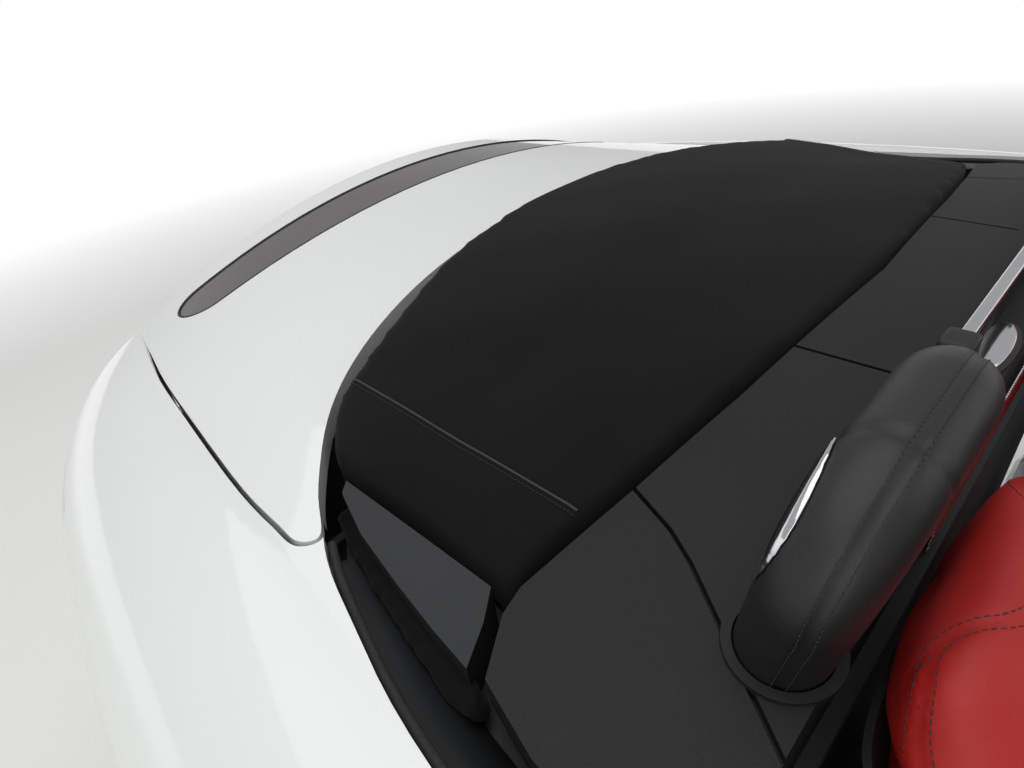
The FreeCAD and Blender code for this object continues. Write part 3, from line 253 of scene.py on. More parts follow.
def rounded_wave(value, power):
    """A sine or cosine made squarer: its size to a power, its sign kept."""
    return math.copysign(abs(value) ** power, value)


def pick(*shapes):
    """Selects the pieces alone, with the last one active."""
    bpy.ops.object.select_all(action="DESELECT")
    for shape in shapes:
        shape.select_set(True)
        bpy.context.view_layer.objects.active = shape


def apply_place():
    bpy.ops.object.transform_apply(location=True, rotation=True, scale=True)


def linked(data):
    """A new object in the scene for a mesh or a curve; settle gives it its name."""
    made = bpy.data.objects.new("piece", data)
    bpy.context.scene.collection.objects.link(made)
    return made


def cleaned(shape, distance, outwards=True):
    """Merges doubles, and turns the faces outwards."""
    pick(shape)
    bpy.ops.object.mode_set(mode="EDIT")
    bpy.ops.mesh.select_all(action="SELECT")
    bpy.ops.mesh.remove_doubles(threshold=distance)
    if outwards:
        bpy.ops.mesh.normals_make_consistent(inside=False)
    bpy.ops.object.mode_set(mode="OBJECT")
    return shape


def modify(shape, kind, **values):
    """Adds one modifier and applies it."""
    pick(shape)
    modifier = shape.modifiers.new(kind.lower(), kind)
    for key, value in values.items():
        setattr(modifier, key, value)
    bpy.ops.object.modifier_apply(modifier=modifier.name)


def settle(shape, name, coat, body="chassis", angle=None, slot=None):
    """Places are pushed into the mesh; then the piece gets its finish and its body."""
    pick(shape)
    apply_place()
    shape.name = name
    if angle is None:
        bpy.ops.object.shade_smooth()
    else:
        bpy.ops.object.shade_smooth_by_angle(angle=math.radians(angle))
    shape.data.materials.clear()
    shape.data.materials.append(FINISH[coat])
    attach(shape, body)


def settle_pair(shape, name, coat, sides=("left", "right"), body="chassis", **more):
    """Settles a piece and its mirror copy on the car's other side; SIDE in the body's name is filled in."""
    other = linked(shape.data.copy())
    for vertex in other.data.vertices:
        vertex.co.x = -vertex.co.x
    other.data.flip_normals()
    for made, side in zip((shape, other), sides):
        settle(made, name + "_" + side, coat, body.replace("SIDE", side), **more)
    return shape, other


def joined(shapes):
    pick(*shapes)
    bpy.ops.object.join()
    return bpy.context.object


def stamped(shape, places):
    """The same detail at many places, as one piece."""
    copies = []
    for place in places:
        copies.append(linked(shape.data.copy()))
        copies[-1].data.transform(place)
    bpy.data.objects.remove(shape)
    return joined(copies)


def around_x(count, start=0.0):
    """Turns about the X axis, evenly spaced over the full round."""
    return [Matrix.Rotation(2 * math.pi * (k + start) / count, 4, "X") for k in range(count)]


def surface(rows, ring=False, loop=False, caps=False):
    """Faces between rows of points: a ring closes each row, a loop joins the last row to the first."""
    across, count = len(rows[0]), len(rows)
    faces = []
    for k in range(count if loop else count - 1):
        for j in range(across if ring else across - 1):
            n, m = (j + 1) % across, (k + 1) % count
            faces.append((k * across + j, k * across + n, m * across + n, m * across + j))
    if caps:
        faces += [tuple(reversed(range(across))), tuple(range((count - 1) * across, count * across))]
    mesh = bpy.data.meshes.new("piece")
    mesh.from_pydata([p for row in rows for p in row], [], faces)
    return cleaned(linked(mesh), 0.00002)


def ribbon(rows, thickness=0.0015):
    """A thin sheet through rows of points."""
    made = surface(rows)
    modify(made, "SOLIDIFY", thickness=thickness, offset=0.0)
    return made


def turned(profile, steps=64):
    """A closed section of places along X and radii, turned about the X axis."""
    rings = []
    for k in range(steps):
        a = 2 * math.pi * k / steps
        rings.append([Vector((u, -r * math.sin(a), r * math.cos(a))) for u, r in profile])
    return surface(rings, ring=True, loop=True)


def put(shape, place, turn=QUARTER_TURN):
    """Turns a piece's mesh and moves it to a place."""
    shape.data.transform(Matrix.Translation(place) @ turn)
    return shape


def turned_at(place, way, profile):
    """A turned piece set at a place, with its axis along the given way."""
    return put(turned(profile), place, Vector(way).normalized().to_track_quat("X", "Z").to_matrix().to_4x4())


def square_to(ahead):
    """Two unit directions square to a line, the first as near to +Y as it can be."""
    side = (Vector((0, 1, 0)) - ahead * ahead.y).normalized()
    return side, side.cross(ahead)


def rings_along(line, radius_at, around=40, start=0.0):
    """Cross rings of a padded tube, square to its line; each a list of points."""
    rings = []
    for k, place in enumerate(line):
        side, up = square_to((line[min(k + 1, len(line) - 1)] - line[max(k - 1, 0)]).normalized())
        ring = []
        for j in range(around):
            a = start + 2 * math.pi * j / around
            r = radius_at(k / (len(line) - 1), a)
            ring.append(place + side * (r * math.cos(a)) + up * (r * math.sin(a)))
        rings.append(ring)
    return rings


def skin(rings):
    return surface(rings, ring=True, caps=True)


def capsule(points, wide, deep, around=20):
    """A rounded bar of oval section with closed round ends."""
    pitch = 0.003
    line = [place for place, _ in evenly(rounded(points), pitch)]

    def radius(share, angle):
        end = min(share, 1 - share) * len(line) * pitch / wide
        cap = math.sqrt(max(1 - (1 - min(end, 1.0)) ** 2, 0.02))
        return cap * wide * deep / math.hypot(deep * math.cos(angle), wide * math.sin(angle))

    return skin(rings_along(line, radius, around))


def tube(points, radius, closed=False, sides=3):
    """A round bar through the points, made a mesh."""
    curve = bpy.data.curves.new("piece", "CURVE")
    curve.dimensions = "3D"
    curve.bevel_depth = radius
    curve.bevel_resolution = sides
    curve.use_fill_caps = True
    line = curve.splines.new("POLY")
    line.points.add(len(points) - 1)
    for place, point in zip(line.points, points):
        place.co = (*point, 1.0)
    line.use_cyclic_u = closed
    pick(linked(curve))
    bpy.ops.object.convert(target="MESH")
    return bpy.context.object


def beveled_box(size, place=(0, 0, 0), width=0.002, segments=2, turn=(0, 0, 0)):
    pick()
    bpy.ops.mesh.primitive_cube_add(size=1.0, location=place, rotation=turn)
    made = bpy.context.object
    made.scale = size
    apply_place()
    modify(made, "BEVEL", width=width, segments=segments)
    return made


def wire_plate(name, cells, size, place, thickness, coat):
    """A flat plate of fine wires, standing across the car."""
    pick()
    bpy.ops.mesh.primitive_grid_add(x_subdivisions=cells[0], y_subdivisions=cells[1], size=1.0,
                                    location=place)
    net = bpy.context.object
    net.scale = (*size, 1.0)
    net.rotation_euler = (math.pi / 2, 0, 0)
    apply_place()
    modify(net, "WIREFRAME", thickness=thickness)
    settle(net, name, coat)


def evenly(points, pitch):
    """Points at one pitch along a broken line, each with its direction."""
    out = []
    rest = 0.0
    for first, last in zip(points, points[1:]):
        run = Vector(last) - Vector(first)
        long = run.length
        if long < 1e-7:
            continue
        at = rest
        while at < long:
            out.append((Vector(first) + run * (at / long), run / long))
            at += pitch
        rest = at - long
    return out


def rounded(corners, turns=3):
    """Corner cutting: the broken line becomes a smooth one."""
    line = [Vector(c) for c in corners]
    for _ in range(turns):
        out = [line[0]]
        for first, last in zip(line, line[1:]):
            out += [first.lerp(last, 0.25), first.lerp(last, 0.75)]
        line = out + [line[-1]]
    return line


def between(first, last, count):
    first, last = Vector(first), Vector(last)
    return [first.lerp(last, k / count) for k in range(count + 1)]


def dropped(shape, points, lift=0.0, way=DOWN, start=0.4):
    """Points of a line brought onto a piece along one direction."""
    bpy.context.view_layer.update()
    way = Vector(way)
    out = []
    for point in points:
        hit, place, normal, _ = shape.ray_cast(Vector(point) - way * start, way)
        if hit:
            out.append(place + normal * lift)
    return out


def stitches(points, pitch=0.0052, long=0.0034, thick=0.00042):
    """Sewn thread along a line: one stitch is modelled and copied along it."""
    pick()
    bpy.ops.mesh.primitive_cylinder_add(vertices=6, radius=thick, depth=long)
    one = bpy.context.object
    modify(one, "BEVEL", width=thick * 0.8, segments=1, limit_method="ANGLE", angle_limit=math.radians(75))
    return stamped(one, [Matrix.Translation(place) @ way.to_track_quat("Z", "Y").to_matrix().to_4x4()
                         for place, way in evenly(points, pitch)])


# Folded soft top

def make_soft_top():
    """The outer cloth of the folded top, with rounded hems and slack between its hidden bows."""
    cloth_low, cloth_top, hem_width = 0.8795, 0.9, 0.007
    cloth = linked(nodes["folded_top"].data.copy())
    cleaned(cloth, 0.00005, outwards=False)
    modify(cloth, "REMESH", mode="VOXEL", voxel_size=0.006, use_smooth_shade=True)
    modify(cloth, "SMOOTH", factor=0.6, iterations=7)
    for vertex in cloth.data.vertices:
        x, y, z = vertex.co
        if z > cloth_top:
            slack = math.sin(x * 7.1 + 1.3) * math.sin(y * 16.0 + 0.4) * 0.0016
            slack += math.sin(x * 23.0 + y * 31.0) * 0.0005
            bow = math.exp(-((y - 1.205 - 0.03 * math.cos(x * 2.0)) / 0.05) ** 2) * 0.0022
            vertex.co.z += slack - bow + 0.0012
    pick(cloth)
    bpy.ops.object.mode_set(mode="EDIT")
    bpy.ops.mesh.select_mode(type="FACE")
    bpy.ops.mesh.select_all(action="DESELECT")
    bpy.ops.object.mode_set(mode="OBJECT")
    for face in cloth.data.polygons:
        face.select = face.center.z < cloth_low
    bpy.ops.object.mode_set(mode="EDIT")
    bpy.ops.mesh.delete(type="FACE")
    bpy.ops.object.mode_set(mode="OBJECT")
    for vertex in cloth.data.vertices:
        x, y, z = vertex.co
        off = abs(abs(x) - (0.562 + 0.004 * math.cos((y - 1.2) * 9.0)))
        if z > cloth_top and off < hem_width:
            vertex.co.z -= 0.0016 * (1.0 - off / hem_width)
    modify(cloth, "SOLIDIFY", thickness=0.0022, offset=-1.0)
    settle(cloth, "soft_top_cloth", "top_cloth")
    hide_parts("folded_top")
    welts = []
    for side in (-1, 1):
        seam = dropped(cloth, between((side * 0.512, 1.38, 1.0), (side * 0.5, 1.07, 1.0), 60), 0.0002)
        hem = dropped(cloth, between((side * 0.566, 1.335, 1.0), (side * 0.566, 1.085, 1.0), 50))
        welts.append(tube(seam, 0.0013, sides=2))
        for line, shift in ((seam, (side * 0.006, 0, 0.0002)), (hem, (-side * 0.014, 0, 0.0003))):
            welts.append(stitches([p + Vector(shift) for p in line], 0.0042, 0.003, 0.00035))
    settle(joined(welts), "soft_top_seams", "dark_thread", slot="top_cloth")


# Padded roll hoops, from the driving sizes of the frame's hoops

HOOP_OUT, HOOP_IN, HOOP_FLARE = 0.5, 0.326, 0.018
HOOP_FOOT_Y, HOOP_TOP_Y, HOOP_FOOT_Z, HOOP_TOP_Z = 0.903, 0.872, 0.9, 1.084
HOOP_BEND, HOOP_TUBE = 0.062, 0.031
SEAM_ANGLES, CROSS_SEAM = (1.93, -1.25), 0.41


def hoop_line(steps=14):
    """Centre line of the left hoop: up the outer leg, across, and down the inner leg."""
    lean = (HOOP_TOP_Y - HOOP_FOOT_Y) / (HOOP_TOP_Z - HOOP_FOOT_Z)
    low = HOOP_TOP_Z - HOOP_BEND
    outer = HOOP_OUT + HOOP_FLARE * 0.7
    start, end = outer - HOOP_BEND, HOOP_IN + HOOP_BEND
    flat = [(HOOP_OUT + HOOP_FLARE * 0.66 * k / 9, HOOP_FOOT_Z + (low - HOOP_FOOT_Z) * k / 9)
            for k in range(9)]
    bend = [math.pi / 2 * k / steps for k in range(steps + 1)]
    flat += [(outer - HOOP_BEND * (1 - math.cos(a)), low + HOOP_BEND * math.sin(a)) for a in bend]
    flat += [(start + (end - start) * k / 8, HOOP_TOP_Z) for k in range(1, 8)]
    flat += [(HOOP_IN - 0.001 + HOOP_BEND * (1 - math.sin(a)), low + HOOP_BEND * math.cos(a)) for a in bend]
    flat += [(HOOP_IN, low + (HOOP_FOOT_Z - low) * k / 9) for k in range(1, 9)]
    coarse = [Vector((x, HOOP_FOOT_Y + lean * (z - HOOP_FOOT_Z), z)) for x, z in flat]
    fine = [first.lerp(last, k / 4) for first, last in zip(coarse, coarse[1:]) for k in range(4)]
    return fine + [coarse[-1]]


def hoop_radius(share, angle):
    """Pad radius: fuller in the middle, pulled in at the sewn seams."""
    r = HOOP_TUBE * (1.0 - 0.05 * abs(2 * share - 1) ** 3)
    for at in SEAM_ANGLES:
        off = abs((angle - at + math.pi) % (2 * math.pi) - math.pi)
        r -= 0.0016 * math.exp(-(off / 0.085) ** 2)
    return r - 0.0014 * math.exp(-((share - CROSS_SEAM) / 0.01) ** 2)


def hoop_thread(line, angle):
    """Stitches along the pad at one angle round its line."""
    rings = rings_along(line, lambda share, a: hoop_radius(0.5, a) + 0.0002, 1, angle)
    return stitches([ring[0] for ring in rings][6:-6], 0.0046, 0.0031, 0.00038)


def hoop_strip(line):
    """Bright strip let into the rear of the outer leg: a pointed oval, slightly raised."""
    steps, first, last, middle = 40, 0.17, 0.395, 0.46
    rows = []
    for k in range(steps + 1):
        share = first + (last - first) * k / steps
        at = round(share * (len(line) - 1))
        side, up = square_to((line[at + 1] - line[at]).normalized())
        half = 0.42 * math.sin(math.pi * (0.03 + 0.94 * k / steps))
        row = []
        for j in range(5):
            a = middle + half * (j / 2 - 1)
            r = hoop_radius(share, a) + 0.0012 * math.sin(math.pi * (0.08 + 0.84 * j / 4)) + 0.0006
            row.append(line[at] + side * (r * math.cos(a)) + up * (r * math.sin(a)))
        rows.append(row)
    return ribbon(rows, 0.0012)


def make_hoops():
    line = hoop_line()
    pads = settle_pair(skin(rings_along(line, hoop_radius, 72)), "hoop_pad", "black_leather")
    threads = [hoop_thread(line, at + off) for at in SEAM_ANGLES for off in (-0.14, 0.14)]
    settle_pair(joined(threads), "hoop_stitches", "dark_thread", slot="black_leather")
    settle_pair(hoop_strip(line), "hoop_strip", "bright_metal")
    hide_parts("roll_hoops")


# Wind deflector between the hoops, and the trim shelf behind it

def make_deflector():
    """A bright tube on two clamps, with fine mesh below it."""
    half, low, high, y = 0.29, 0.965, 1.04, 0.892
    bar = tube([(x, y, high) for x in (-half, -0.15, 0.0, 0.15, half)], 0.0062, sides=6)
    settle(bar, "deflector_tube", "bright_metal")
    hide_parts("wind_deflector")
    wire_plate("deflector_mesh", (140, 14), (half * 2 - 0.02, high - low - 0.008), (0, y, (low + high) / 2),
               0.0011, "satin_black")
    settle_pair(beveled_box((0.03, 0.026, 0.03), (0.232, y, high - 0.004), 0.005, 4), "deflector_clamp",
                "satin_black")


def make_shelf_details():
    """Oval bright pulls of the lockers in the trim shelf, each in a dark dish; perforated front plate."""
    x, y = 0.118, 0.881
    place = dropped(nodes["rear_shelf"], [(x, y, 1.3)])[0]
    for name, size, lift, coat in (("locker_pull", (0.054, 0.015, 0.008), 0.003, "bright_metal"),
                                   ("locker_dish", (0.062, 0.0185, 0.003), 0.0005, "satin_black")):
        pick()
        bpy.ops.mesh.primitive_uv_sphere_add(segments=48, ring_count=24, radius=1.0,
                                             location=(x, y, place.z + lift))
        bpy.context.object.scale = size
        apply_place()
        settle_pair(bpy.context.object, name, coat)
    wire_plate("shelf_grille", (116, 14), (0.58, 0.07), (0, 0.8585, 0.893), 0.0017, "bright_metal")


# Seats: red leather pads with simulated fullness, on dark shells

SEAT_X, SEAT_BACK_Y, SEAT_BACK_Z, SEAT_RAKE = 0.388, 0.446, 0.3, math.radians(28)
# height above the foot, half width, half depth
SEAT_STATIONS = ((0.0, 0.205, 0.052), (0.1, 0.216, 0.056), (0.26, 0.224, 0.06), (0.42, 0.228, 0.06),
                 (0.54, 0.224, 0.059), (0.62, 0.212, 0.058), (0.68, 0.192, 0.057), (0.74, 0.16, 0.053),
                 (0.78, 0.134, 0.042), (0.8, 0.108, 0.027))
FORM_POWER = 0.62


def station(height):
    for low, high in zip(SEAT_STATIONS, SEAT_STATIONS[1:]):
        if height <= high[0]:
            t = eased((height - low[0]) / (high[0] - low[0]))
            return tuple(a + (b - a) * t for a, b in zip(low[1:], high[1:]))
    return SEAT_STATIONS[-1][1:]


def back_rings(grow, first=0.0, last=0.8, count=60, around=96):
    """Cross rings of a seat back in its own frame: x across, y rearward, z up along the rake."""
    rings = []
    for k in range(count + 1):
        height = first + (last - first) * k / count
        half_w, half_d = station(height)
        ring = []
        for j in range(around):
            a = 2 * math.pi * j / around
            x = rounded_wave(math.cos(a), FORM_POWER) * (half_w + grow)
            y = rounded_wave(math.sin(a), FORM_POWER) * (half_d + grow)
            if math.sin(a) < 0:
                y -= 0.022 * eased(within((abs(x) - 0.105) / 0.07) * within((0.6 - height) / 0.12)) - 0.006
            ring.append(Vector((x, y, height)))
        rings.append(ring)
    return rings


def lean_back(shape):
    put(shape, (-SEAT_X, SEAT_BACK_Y, SEAT_BACK_Z), Matrix.Rotation(-SEAT_RAKE, 4, "X"))


def plumped(shape, most=0.014, pressure=4.0):
    """Blows the pad up a little with Cloth pressure; no point may move further than the given distance."""
    before = [vertex.co.copy() for vertex in shape.data.vertices]
    pick(shape)
    cloth = shape.modifiers.new("cloth", "CLOTH")
    cloth.settings.quality = 4
    cloth.settings.use_pressure = True
    cloth.settings.uniform_pressure_force = pressure
    cloth.settings.effector_weights.gravity = 0.0
    for number in range(1, 21):
        bpy.context.scene.frame_set(number)
    bpy.ops.object.modifier_apply(modifier=cloth.name)
    bpy.context.scene.frame_set(1)
    for vertex, start in zip(shape.data.vertices, before):
        move = vertex.co - start
        if move.length > most:
            vertex.co = start + move * (most / move.length)


def sewn_groove(shape, line, width=0.006, depth=0.0022):
    """Pulls the surface in along a seam."""
    tree = KDTree(len(line))
    for index, place in enumerate(line):
        tree.insert(place, index)
    tree.balance()
    moves = []
    for vertex in shape.data.vertices:
        _, _, far = tree.find(vertex.co)
        if far < width:
            moves.append((vertex, vertex.normal.copy() * depth * (1 - far / width) ** 2))
    for vertex, move in moves:
        vertex.co -= move


def seat_seams(shape, lines):
    """Cuts each seam into a pad and sews it, with rows of thread beside it."""
    threads = []
    for corners, way, rows in lines:
        line = dropped(shape, [place for place, _ in evenly(rounded(corners), 0.002)], way=way)
        if len(line) < 4:
            continue
        sewn_groove(shape, line)
        for row in rows:
            side = [place + (after - place).cross(Vector(way)).normalized() * row
                    for place, after in zip(line, line[1:])]
            threads.append(stitches(dropped(shape, side[::2], 0.0002, way)))
    return joined(threads)


def make_seat_back():
    pad = skin(back_rings(-0.008))
    modify(pad, "REMESH", mode="VOXEL", voxel_size=0.009, use_smooth_shade=True)
    modify(pad, "SMOOTH", factor=0.5, iterations=4)
    plumped(pad)
    modify(pad, "SUBSURF", levels=1)
    lean_back(pad)
    return pad


def make_cushion():
    pad = beveled_box((0.452, 0.476, 0.118), (-SEAT_X, 0.175, 0.335), 0.042, 5)
    modify(pad, "REMESH", mode="VOXEL", voxel_size=0.009, use_smooth_shade=True)
    for vertex in pad.data.vertices:
        x, y, z = vertex.co
        wing = within((abs(x + SEAT_X) - 0.135) / 0.06)
        if z > 0.33:
            rise = 0.04 * eased(wing) * within((y + 0.05) / 0.12, 0.25)
            vertex.co.z += rise - 0.012 * (1 - wing) * math.exp(-((y - 0.22) / 0.14) ** 2)
    modify(pad, "SMOOTH", factor=0.5, iterations=6)
    plumped(pad, most=0.012)
    modify(pad, "SUBSURF", levels=1)
    return pad


def make_seat_shell():
    """Dark rear shell wrapping the back of the seat, and its skirt with the runners below."""
    rows = [ring[2:47] for ring in back_rings(0.001, first=0.02, last=0.735, count=48)]
    shell = surface(rows)
    modify(shell, "SOLIDIFY", thickness=0.005, offset=1.0)
    lean_back(shell)
    parts = [shell]
    pan, rail, hinge = (0.452, 0.44, 0.07), (0.04, 0.47, 0.04), (0.05, 0.12, 0.11)
    for size, x, y, z in ((pan, 0.0, 0.18, 0.262), (rail, -0.15, 0.18, 0.205), (rail, 0.15, 0.18, 0.205),
                          (hinge, -0.205, 0.4, 0.33), (hinge, 0.205, 0.4, 0.33)):
        parts.append(beveled_box(size, (x - SEAT_X, y, z), min(size[0], size[2]) * 0.3, 3))
    return joined(parts)


def make_seats():
    """The right seat, and its mirror copy for the left."""
    x, pair = -SEAT_X, (-0.004, 0.004)
    # half of the front panel's outline: offset from the seat's middle, and height
    panel = ((0.15, 0.36), (0.146, 0.6), (0.14, 0.76), (0.08, 0.85))
    # top seam of each shoulder from above: offset from the seat's middle, and place along the car
    shoulder = ((0.02, 0.785), (0.049, 0.795), (0.063, 0.811), (0.083, 0.822), (0.095, 0.823),
                (0.114, 0.818), (0.13, 0.811), (0.146, 0.796), (0.156, 0.77))
    back_lines = [([(x - a, 0.3, z) for a, z in panel] + [(x + a, 0.3, z) for a, z in reversed(panel)],
                   REARWARD, pair)]
    back_lines += [([(x + m * a, b, 1.2) for a, b in shoulder], DOWN, (-0.0042, 0.0042)) for m in (-1, 1)]
    back_lines.append(([(x - 0.092, 0.826, 1.2), (x - 0.125, 0.835, 1.2)], DOWN, (0.003,)))
    for half, z in ((0.13, 0.55), (0.14, 0.7)):
        back_lines.append(([(x - half, 0.3, z), (x + half, 0.3, z)], REARWARD, (0.004,)))
    cushion_lines = [([(x + m * 0.14, 0.4, 0.6), (x + m * 0.14, 0.02, 0.6), (x + m * 0.12, -0.05, 0.6)],
                      DOWN, pair) for m in (-1, 1)]
    for y in (0.06, 0.24):
        cushion_lines.append(([(x - 0.13, y, 0.6), (x + 0.13, y, 0.6)], DOWN, (0.004,)))
    back, cushion = make_seat_back(), make_cushion()
    back_seams = seat_seams(back, back_lines)
    cushion_seams = seat_seams(cushion, cushion_lines)
    sides = ("right", "left")
    backs = settle_pair(back, "seat_back", "red_leather", sides)
    cushions = settle_pair(cushion, "seat_cushion", "red_leather", sides)
    settle_pair(back_seams, "seat_back_stitches", "dark_thread", sides, slot="red_leather")
    settle_pair(cushion_seams, "seat_cushion_stitches", "dark_thread", sides, slot="red_leather")
    settle_pair(make_seat_shell(), "seat_shell", "soft_trim", sides, angle=40)
    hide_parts("seat_right")
    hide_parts("seat_left")


# Edge of the well beside the folded top

WELL_EDGE = ((0.716, 0.7), (0.712, 0.9), (0.703, 1.022), (0.692, 1.092), (0.677, 1.153), (0.656, 1.226),
             (0.632, 1.27))


def make_well_edge():
    """Rubber seal along the wing's inner edge and the dark liner under it."""
    top = []
    for place, _ in evenly(rounded([(x, y, 1.4) for x, y in WELL_EDGE], 2), 0.008):
        hit = dropped(nodes["rear_quarter_left"], [place + Vector((0.008, 0, 0))], start=0.1)
        if hit:
            top.append(Vector((place.x, place.y, hit[0].z)))
    seal = tube([p + Vector((-0.0045, 0, -0.0085)) for p in top], 0.0042)
    rows = [[Vector((p.x + dx, p.y, z)) for dx, z in ((0.014, p.z - 0.03), (-0.004, p.z - 0.033),
                                                      (-0.02, 0.886), (-0.05, 0.8745))] for p in top]
    settle_pair(seal, "well_seal", "tread_rubber")
    settle_pair(ribbon(rows), "well_liner", "satin_black")


def make_side_folds():
    """The top's side fabric, folded along under the outer edge of each hard flap."""
    path = rounded([(0.598, 1.292, 0.888), (0.616, 1.232, 0.89), (0.631, 1.16, 0.89),
                    (0.641, 1.1, 0.889), (0.648, 1.052, 0.887), (0.646, 1.034, 0.884)], 4)
    path = [place for place, _ in evenly(path, 0.004)]
    random.seed(7)
    waves = [(random.uniform(20, 120), random.uniform(0, 6.28), random.uniform(0.0001, 0.0004))
             for _ in range(7)]

    def radius(share, angle):
        r = 0.0135 if share < 0.93 else 0.0135 * math.sqrt(max(1 - ((share - 0.93) / 0.072) ** 2, 0.05))
        r *= 1.0 - 0.22 * abs(math.sin(angle)) + 0.1 * math.cos(2 * angle + 5 * share)
        return r + sum(d * math.sin(f * share + q + 2 * angle) for f, q, d in waves)

    for made in settle_pair(skin(rings_along(path, radius, 28)), "side_fold", "top_cloth"):
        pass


# Wheels

WHEELS = (("front_left", 0.7365, -1.303), ("front_right", -0.7365, -1.303),
          ("rear_left", 0.7615, 1.192), ("rear_right", -0.7615, 1.192))
HUB_Z = 0.317
# sections as places along the axle and radii
TYRE_OUTSIDE = ((0.09, 0.3095), (0.099, 0.306), (0.106, 0.296), (0.11, 0.28), (0.112, 0.262),
                (0.1105, 0.244), (0.1075, 0.2335), (0.105, 0.229), (0.0985, 0.2275), (0.0985, 0.215),
                (0.084, 0.215), (0.08, 0.226), (0.088, 0.262), (0.078, 0.296))
RIM_PROFILE = (
    (0.104, 0.2262), (0.104, 0.208), (0.0985, 0.2045), (0.084, 0.202), (0.076, 0.19),
    (-0.074, 0.188), (-0.086, 0.202), (-0.104, 0.2075), (-0.104, 0.2262), (-0.098, 0.2262),
    (-0.098, 0.2142), (-0.08, 0.21), (-0.07, 0.196), (0.07, 0.196), (0.08, 0.21),
    (0.098, 0.2142), (0.098, 0.2262))


def make_tyre():
    """Carcass, five rows of tread blocks, and a rib on each side wall."""
    pitches = 68
    parts = [turned(TYRE_OUTSIDE + tuple((-u, r) for u, r in reversed(TYRE_OUTSIDE)), 96)]
    blocks = []
    for u, wide, long, skew in (
            (-0.082, 0.026, 0.0225, 14), (-0.044, 0.029, 0.0235, 24), (0.0, 0.028, 0.025, 0),
            (0.044, 0.029, 0.0235, -24), (0.082, 0.026, 0.0225, -14)):
        shoulder = abs(u) > 0.06
        tilt = math.radians(math.copysign(5.0, u)) if shoulder else 0.0
        blocks.append(beveled_box((wide, long, 0.0075), (u, 0, 0.312 if shoulder else 0.313), 0.0012, 1,
                                  (0, tilt, math.radians(skew))))
    parts.append(stamped(joined(blocks), around_x(pitches)))
    for side in (1, -1):
        rib = ((side * 0.1085, 0.248), (side * 0.1135, 0.244), (side * 0.1085, 0.24))
        parts.append(turned(rib, 96))
    return joined(parts)


def make_spoke_pair():
    """Two ribs of oval section that spread towards the rim's edge."""
    hub_r, edge_r, steps = 0.058, 0.197, 16
    rings = []
    for k in range(steps + 1):
        t = k / steps
        face_x = 0.061 - 0.01 * math.sin(math.pi * t) + 0.02 * t ** 3
        wide, deep = 0.0145 - 0.003 * math.sin(math.pi * t) + 0.002 * t, 0.013 + 0.002 * (1 - t)
        angles = [2 * math.pi * j / 20 for j in range(20)]
        rings.append([Vector((face_x - deep + rounded_wave(math.sin(a), 0.6) * deep,
                              rounded_wave(math.cos(a), 0.6) * wide + 0.02 + 0.014 * t,
                              hub_r + (edge_r - hub_r) * t)) for a in angles])
    spoke = skin(rings)
    twin = linked(spoke.data.copy())
    for vertex in twin.data.vertices:
        vertex.co.y = -vertex.co.y
    twin.data.flip_normals()
    return joined([spoke, twin])


def make_rim():
    """Outer face towards +X: five twin spokes, hub with bolts, plain centre cap, valve."""
    barrel = turned(RIM_PROFILE, 96)
    hub = turned(((0.036, 0.01), (0.062, 0.01), (0.064, 0.03), (0.062, 0.06), (0.056, 0.074),
                  (0.038, 0.076), (0.036, 0.04)))
    spokes = stamped(make_spoke_pair(), around_x(5))
    pick()
    bpy.ops.mesh.primitive_cylinder_add(vertices=6, radius=0.0105, depth=0.02, location=(0.064, 0, 0.06),
                                        rotation=(0, math.pi / 2, 0))
    bolt = bpy.context.object
    apply_place()
    modify(bolt, "BEVEL", width=0.0015, segments=2)
    bolts = stamped(bolt, around_x(5, 0.5))
    cap = turned(((0.06, 0.001), (0.069, 0.001), (0.068, 0.018), (0.064, 0.027),
                  (0.058, 0.028)), 48)
    valve = tube([(0.08, 0.0, 0.196), (0.096, 0.0, 0.18)], 0.0035)
    return joined([barrel, hub, spokes, bolts, cap, valve])


def make_wheels():
    for shape, kind, coat, angle in ((make_tyre(), "tyre", "tread_rubber", 30),
                                     (make_rim(), "rim", "alloy", 35)):
        for label, x, y in WHEELS:
            one = linked(shape.data.copy())
            put(one, (x, y, HUB_Z), Matrix.Rotation(math.pi if x < 0 else 0.0, 4, "Z"))
            settle(one, "dressed_" + kind + "_" + label, coat, "wheel_" + label, angle)
            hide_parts(kind + "_" + label)
        bpy.data.objects.remove(shape)


# Details of the outer panels

